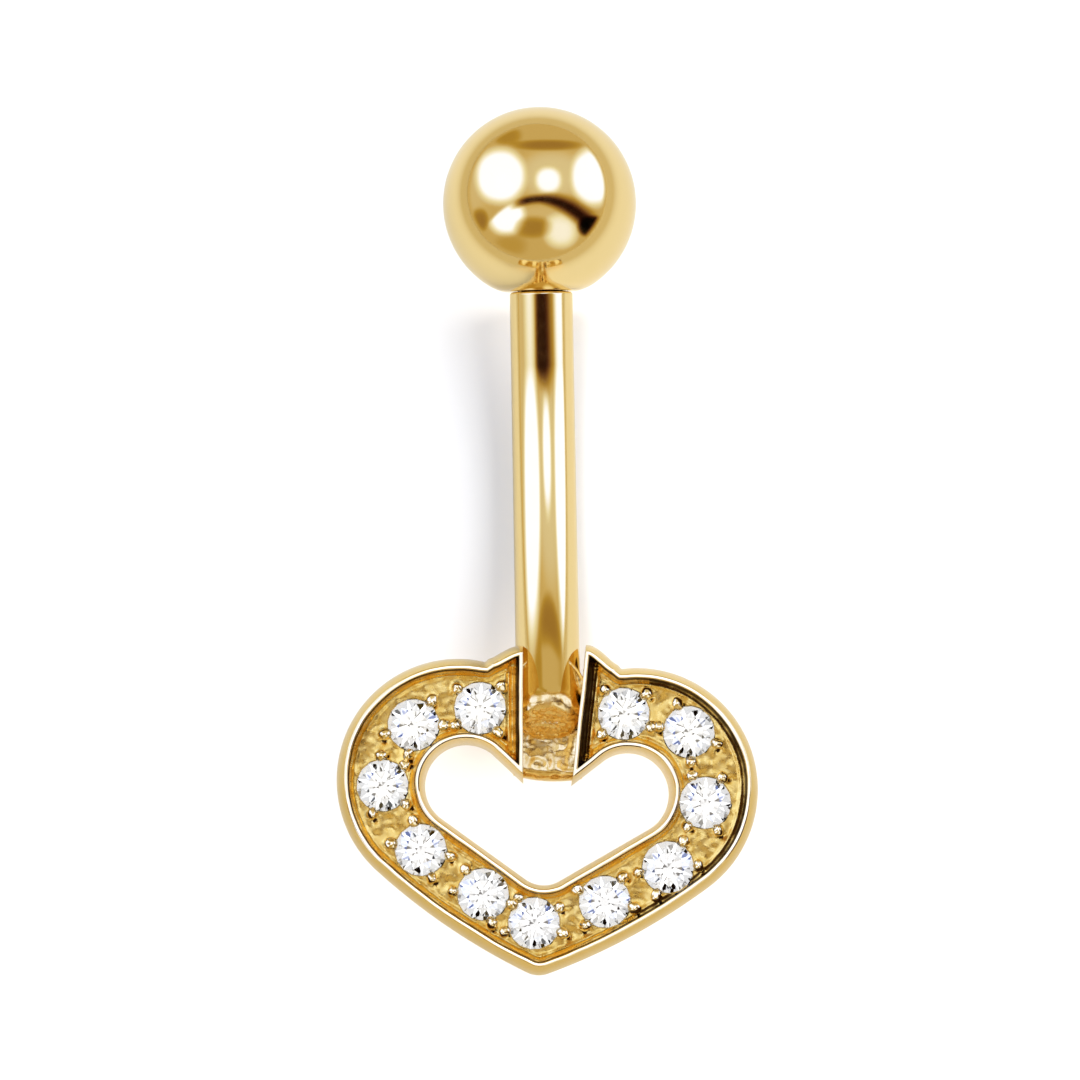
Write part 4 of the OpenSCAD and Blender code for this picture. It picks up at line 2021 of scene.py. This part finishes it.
@dataclass(frozen=True)
class Patch:
    """A patch of the studio's tent, placed by the slope of the polish that mirrors it.

    Attributes:
        right: How far that slope faces right, as a share of the ball's radius.
        up: How far it faces up.
        width: Half the patch's width.
        height: Half its height.
        soft: The share of its edge that fades.
        level: What it adds to the tent, or the share that a dark patch takes away.
    """

    right: float
    up: float
    width: float
    height: float
    soft: float
    level: float

    def shape(self, graph: Graph, right: Number, up: Number) -> Number:
        """Add the patch to the tent's graph and return its strength at each slope.

        Args:
            graph: The world's graph.
            right: The slope to the right.
            up: The slope upwards.

        Returns:
            The strength, from 0 to the patch's level.
        """
        parts = []
        for slope, middle, half in ((right, self.right, self.width), (up, self.up, self.height)):
            off = graph.math("ABSOLUTE", (slope - middle) / half)
            parts.append(graph.math("POWER", off, PATCH_POWER))
        return graph.ramp(parts[0] + parts[1], 1 - self.soft, 1 + self.soft, self.level, 0.0)


@dataclass(frozen=True)
class Lamp:
    """A soft round lamp that isn't seen in reflections.

    Attributes:
        name: Its name.
        towards: Its direction from the ring: right, up and towards the camera.
        size: Its width as a share of its distance.
        light: The brightness that it gives a white floor that faces it.
        shadow: Whether the bar stands in its way.
    """

    name: str
    towards: tuple[float, float, float]
    size: float
    light: float
    shadow: bool


@dataclass(frozen=True)
class Softbox:
    """A soft round light close over the heart that only some pieces mirror.

    Attributes:
        name: Its name.
        far: Its distance from the heart's middle, in the direction that the heart's face mirrors.
        size: Its width in millimetres.
        colour: Its colour.
        light: Its brightness.
    """

    name: str
    far: float
    size: float
    colour: tuple[float, float, float]
    light: float


@dataclass
class Studio:
    """The pale floor, the tent of soft light and the camera.

    The tent is painted by the slopes of the polish that mirrors it: on the ball, a slope is how far
    a spot lies from the middle, as a share of the radius. Its level picks one of TONES.

    Attributes:
        sizes: The ring's shared sizes.
        camera_right: How far the camera stands to the right of the ball's centre.
        camera_up: How far it stands above the ball's centre, along the bar.
        camera_far: Its height over the ball's centre.
        camera_turn: Its turn about its own axis, in degrees.
        focal_pixels: Its focal length in the photograph's pixels.
        image_pixels: The photograph's width.
        floor_size: The floor's width.
        floor_painted_reflection: The painted reflection colours that the polish sees on the floor
            near the ball and far from it, in place of the floor's white.
        floor_turns: How far from the ball's foot the near colour ends and the far one begins.
        far: How far the lamps hang, in metres.
        tent: The tent's level away from the patches.
        ambient: The share of the tent's light that falls on the floor.
        strength: The tent's strength, by which its tones are divided.
        bright: The patches that are brighter than the tent.
        lens: Bright patches that show only below the arc.
        lens_bend: How strongly the lens's upper edge bends down to the sides.
        dark: The patches that are darker.
        arc_bend: How strongly the dark arc bends down to the sides.
        arc_up: The slope up at which its middle lies.
        arc_thick: Its thickness.
        arc_widens: How fast it widens to the right.
        rim_box: The light that only the rims and the beads mirror.
        stone_box: The light that only the stones mirror.
        lamps: The lamps over the floor.
    """

    sizes: RingSizes
    camera_right: float = -0.14
    camera_up: float = -8.69
    camera_far: float = 140.0
    camera_turn: float = 1.0
    focal_pixels: float = 5418.0
    image_pixels: float = 1080.0
    floor_size: float = 4000.0
    floor_painted_reflection: tuple[tuple[float, float, float], ...] = ((0.74, 0.73, 0.68), (0.56, 0.49, 0.33))
    floor_turns: tuple[float, float] = (8.0, 24.0)
    far: float = 2.0
    tent: float = 0.53
    ambient: float = 0.07
    strength: float = 3.0
    bright: tuple[Patch, ...] = (
        Patch(-0.40, 0.285, 0.22, 0.25, 0.97, 0.68),
        Patch(0.56, 0.28, 0.20, 0.27, 0.97, 0.68),
        Patch(0.09, 0.24, 0.12, 0.12, 0.97, 0.40),
        Patch(0.13, 0.29, 0.32, 0.24, 0.97, 0.13),
        Patch(-0.72, 0.20, 0.20, 0.40, 0.97, 0.07),
    )
    lens: tuple[Patch, ...] = (
        Patch(-0.34, -0.13, 0.17, 0.17, 0.97, 0.58),
        Patch(0.22, -0.28, 0.16, 0.16, 0.97, 0.36),
        Patch(0.0, -0.10, 0.25, 0.08, 0.97, 0.06),
    )
    lens_bend: float = 1.0
    dark: tuple[Patch, ...] = (
        Patch(0.08, 0.60, 0.32, 0.05, 0.97, 0.44),
        Patch(-0.34, 0.70, 0.14, 0.09, 0.97, 0.30),
        Patch(-0.07, -0.24, 0.17, 0.10, 0.97, 0.38),
        Patch(-0.615, -0.17, 0.08, 0.11, 0.97, 0.48),
        Patch(0.54, -0.235, 0.145, 0.11, 0.5, 1.0),
        Patch(-0.30, -0.43, 0.16, 0.11, 0.97, 0.16),
    )
    arc_bend: float = 0.95
    arc_up: float = 0.048
    arc_thick: float = 0.036
    arc_widens: float = 0.15
    rim_box: Softbox = Softbox("rim_softbox", 100.0, 70.0, (0.39, 0.49, 1.0), 2.9)
    stone_box: Softbox = Softbox("stone_softbox", 100.0, 42.0, (1.0, 1.0, 1.0), 1.5)
    lamps: tuple[Lamp, ...] = (
        Lamp("front_lamp", (0.0, 0.0, 1.0), 0.04, 0.12, False),
        Lamp("right_lamp", (0.53, 0.237, 0.814), 0.45, 0.43, True),
        Lamp("low_lamp", (0.866, 0.14, 0.48), 0.9, 0.64, True),
        Lamp("left_lamp", (-0.25, 0.265, 0.93), 0.40, 0.46, True),
    )

    def axes(self, place: Placement) -> Matrix:
        """Return the camera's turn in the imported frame.

        Args:
            place: The placement.

        Returns:
            The turn.
        """
        bar = place.bar.to_3x3()
        bar = Matrix([[x / MM for x in row] for row in bar])
        return bar @ Matrix.Rotation(math.radians(-self.camera_turn), 3, "Z")

    def eye(self, place: Placement) -> Vector:
        """Return where the camera stands."""
        return place.bar @ Vector((self.camera_right, self.camera_up, self.camera_far))

    def camera(self, place: Placement) -> None:
        """Put the camera where the photograph was taken from.

        Args:
            place: The placement.
        """
        data = bpy.data.cameras.new("camera")
        data.sensor_width = 36.0
        data.lens = data.sensor_width * self.focal_pixels / self.image_pixels
        data.clip_start = 0.01
        data.clip_end = 10.0
        made = bpy.data.objects.new("camera", data)
        made.matrix_world = Matrix.Translation(self.eye(place)) @ self.axes(place).to_4x4()
        bpy.context.scene.collection.objects.link(made)
        bpy.context.scene.camera = made

    def floor(self, place: Placement) -> bpy.types.Object:
        """Lay the plain pale floor, which the polish sees in a painted reflection colour, warmer and
        darker far from the ball.

        Args:
            place: The placement.

        Returns:
            The floor.
        """
        half = self.floor_size * MM / 2
        mesh = bpy.data.meshes.new("floor")
        corners = [(-half, -half, 0), (half, -half, 0), (half, half, 0), (-half, half, 0)]
        mesh.from_pydata(corners, [], [(0, 1, 2, 3)])
        made = Material("pale_floor")
        graph = made.graph
        made.shader.inputs["Roughness"].default_value = 1.0
        made.shader.inputs["Specular IOR Level"].default_value = 0.0
        tone = made.blend(made.noise(0.02), (0.95, 0.95, 0.95), (0.96, 0.96, 0.96))
        # Painted reflection: glossy rays see the floor darker than the camera does, and warmer far
        # from the ball's foot.
        mirrored = graph.add("ShaderNodeLightPath").outputs["Is Glossy Ray"]
        foot = place.bar.to_translation()
        away = graph.vector("DISTANCE", made.place, (foot.x, foot.y, 0.0)).outputs["Value"]
        low, high = self.floor_turns
        seen = made.blend(graph.ramp(away, low * MM, high * MM, 0.0, 1.0), *self.floor_painted_reflection)
        graph.put(made.shader.inputs["Base Color"], graph.mix(mirrored, tone, seen))
        mesh.materials.append(made.data)
        floor = bpy.data.objects.new("floor", mesh)
        bpy.context.scene.collection.objects.link(floor)
        return floor

    def slopes(self, graph: Graph, place: Placement) -> tuple[Number, Number]:
        """Add the slopes of the polish that mirror each part of the tent to the camera.

        Args:
            graph: The world's graph.
            place: The placement.

        Returns:
            The slope to the right and the slope upwards, as shares of the ball's radius.
        """
        ball = place.bar.to_translation()
        out = (self.eye(place) - ball).normalized()
        right = self.axes(place).col[1].cross(out).normalized()
        way = graph.add("ShaderNodeTexCoord").outputs["Generated"]
        both = graph.vector("ADD", way, tuple(out)).outputs[0]
        facing = graph.vector("NORMALIZE", both).outputs[0]
        return graph.dot(facing, right), graph.dot(facing, out.cross(right))

    def arc(self, graph: Graph, right: Number, up: Number) -> Number:
        """Add the dark arc that the front edge of the table leaves.

        Args:
            graph: The world's graph.
            right: The slope to the right.
            up: The slope upwards.

        Returns:
            Its strength, from 0 to 1.
        """
        off = up + right * right * self.arc_bend - self.arc_up
        rightward = graph.math("MAXIMUM", right, 0.0)
        thick = graph.math("MULTIPLY_ADD", rightward, self.arc_widens, self.arc_thick)
        line = graph.ramp(graph.math("ABSOLUTE", off) / thick, 0.2, 1.9, 0.97, 0.0)
        left = graph.ramp(right, -0.36, -0.12, 0.0, 1.0)
        return line * (left * graph.ramp(right, 0.5, 0.68, 1.0, 0.0))

    def level(self, graph: Graph, place: Placement) -> Number:
        """Add the tent's level, which fades to an even one down at the horizon.

        Args:
            graph: The world's graph.
            place: The placement.

        Returns:
            The level, from 0 for black to 1 for the brightest.
        """
        right, up = self.slopes(graph, place)
        below = graph.ramp(up + right * right * self.lens_bend, 0.05, 0.11, 1.0, 0.0)
        level = self.tent
        for patch in self.lens:
            level = level + patch.shape(graph, right, up) * below
        for patch in self.bright:
            level = level + patch.shape(graph, right, up)
        for patch in self.dark:
            level = level * (1.0 - patch.shape(graph, right, up))
        level = level * (1.0 - self.arc(graph, right, up))
        way = graph.add("ShaderNodeTexCoord").outputs["Generated"]
        rise = graph.add("ShaderNodeSeparateXYZ", {0: way}).outputs["Z"]
        return level + (self.tent - level) * graph.ramp(rise, 0.0, 0.14, 1.0, 0.0)

    def world(self, place: Placement) -> None:
        """Build the tent: its tones, and the plainer white that the stones and the floor see.

        Args:
            place: The placement.
        """
        world = bpy.data.worlds.new("tent")
        world.use_nodes = True
        bpy.context.scene.world = world
        graph = Graph(world.node_tree)
        level = self.level(graph, place)
        tones = graph.add("ShaderNodeValToRGB", {0: level})
        for _ in TONES[1:-1]:
            tones.color_ramp.elements.new(0.5)
        for element, (spot, colour) in zip(tones.color_ramp.elements, TONES):
            element.position = spot
            element.color = (*(channel / self.strength for channel in colour), 1.0)
        white = graph.ramp(level, 0.2, 0.55, 0.0, 1.05 / self.strength)
        clear = graph.add("ShaderNodeCombineXYZ", {0: white, 1: white, 2: white}).outputs[0]
        plain = (1 / self.strength,) * 3 + (1.0,)
        seen = graph.add("ShaderNodeLightPath").outputs
        colour = graph.mix(seen["Is Transmission Ray"], tones.outputs["Color"], clear)
        colour = graph.mix(seen["Is Diffuse Ray"], colour, clear)
        colour = graph.mix(seen["Is Camera Ray"], colour, plain)
        bounced = graph.math("MINIMUM", seen["Diffuse Depth"], 1.0)
        fade = graph.math("MULTIPLY_ADD", bounced, self.ambient - 1.0, 1.0)
        shader = world.node_tree.nodes["Background"]
        graph.put(shader.inputs["Color"], colour)
        graph.put(shader.inputs["Strength"], fade * self.strength)

    def lamp(self, place: Placement, lamp: Lamp, blockers: bpy.types.Collection) -> None:
        """Hang one soft lamp.

        Args:
            place: The placement.
            lamp: The lamp.
            blockers: What stands in its way.
        """
        way = (self.axes(place) @ Vector(lamp.towards)).normalized()
        energy = lamp.light * (math.pi * self.far) ** 2
        made = disk_light(lamp.name, lamp.size * self.far, energy, way * self.far, way)
        made.visible_glossy = False
        made.visible_transmission = False
        made.light_linking.blocker_collection = blockers

    def softbox(self, place: Placement, box: Softbox, lit: list[bpy.types.Object]) -> None:
        """Hang one softbox where the heart's face mirrors it to the camera.

        Args:
            place: The placement.
            box: The softbox.
            lit: The pieces that it lights.
        """
        middle = place.heart @ Vector((0, self.sizes.heart_h / 2, 0))
        out = (self.eye(place) - middle).normalized()
        normal = place.heart.to_3x3().col[2].normalized()
        way = 2 * normal.dot(out) * normal - out
        size = box.size * MM
        energy = box.light * math.pi * math.pi * (size / 2) ** 2
        made = disk_light(box.name, size, energy, middle + way * box.far * MM, way)
        made.data.color = box.colour
        made.visible_camera = False
        made.light_linking.receiver_collection = grouped(box.name + "_lit", lit)

    def build(
        self, place: Placement, rims: list[bpy.types.Object], stones: list[bpy.types.Object],
        bar: bpy.types.Object,
    ) -> None:
        """Build the whole studio.

        Args:
            place: The placement.
            rims: The rims and the beads.
            stones: The stones.
            bar: The bar, which alone throws a shadow.
        """
        self.softbox(place, self.rim_box, rims)
        self.softbox(place, self.stone_box, stones)
        self.camera(place)
        floor = self.floor(place)
        self.world(place)
        shading = {True: grouped("shading", [bar]), False: grouped("not_shading", [floor])}
        for lamp in self.lamps:
            self.lamp(place, lamp, shading[lamp.shadow])
        bpy.context.scene.view_settings.view_transform = "Standard"


def disk_light(
    name: str, size: float, energy: float, spot: Vector, way: Vector
) -> bpy.types.Object:
    """Hang a round area light.

    Args:
        name: Its name.
        size: Its diameter in metres.
        energy: Its power in watts.
        spot: Where it hangs.
        way: The direction from what it lights to it.

    Returns:
        The light.
    """
    data = bpy.data.lights.new(name, "AREA")
    data.shape = "DISK"
    data.size = size
    data.energy = energy
    made = bpy.data.objects.new(name, data)
    turn = way.to_track_quat("Z", "Y").to_matrix().to_4x4()
    made.matrix_world = Matrix.Translation(spot) @ turn
    bpy.context.scene.collection.objects.link(made)
    return made


def grouped(name: str, members: list[bpy.types.Object]) -> bpy.types.Collection:
    """Return a new collection of objects, for a lamp to be linked to.

    Args:
        name: The collection's name.
        members: The objects.

    Returns:
        The collection.
    """
    group = bpy.data.collections.new(name)
    for member in members:
        group.objects.link(member)
    return group


def dress_stones(
    nodes: dict[str, bpy.types.Object], finish: bpy.types.Material
) -> list[bpy.types.Object]:
    """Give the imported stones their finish.

    Args:
        nodes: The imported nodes.
        finish: The stones' finish.

    Returns:
        The stones.
    """
    stones = [nodes[f"stone_{number:02d}"] for number in range(1, len(STONES) + 1)]
    for stone in stones:
        stone.data.materials.clear()
        stone.data.materials.append(finish)
        log.info("%s dressed", stone.name)
    return stones


def main() -> None:
    """Load the frame, build every piece and report each one."""
    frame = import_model()
    sizes = RingSizes()
    place = sizes.placement(frame["nodes"])
    finishes = (POLISHED, WALL_GOLD, CAST_GOLD, SOLDER_GOLD, BEAD_GOLD, PAINTED_SHADE_GOLD)
    polished, wall, cast, solder, bead, painted_shade = (finish.material() for finish in finishes)
    setting = HeartSetting(sizes)
    # The last finish is near-black gold that paints shade on the setting and the rims.
    setting.build(place.heart, wall, polished, cast, painted_shade)
    rims = [setting.rims(place.heart, polished, painted_shade)]
    rims.append(SettingBeads(sizes).build(place.heart, bead))
    BridgeAndCup(sizes).build(place.heart, solder)
    bar = CurvedBar(sizes).build(place.bar, polished, solder)
    ThreadedPin(sizes).build(place.bar, polished)
    ScrewBall(sizes).build(place.bar, polished)
    stones = dress_stones(frame["nodes"], StoneFinish().material())
    Studio(sizes).build(place, rims, stones, bar)


if __name__ == "__main__":
    logging.basicConfig(level=logging.INFO)
    main()
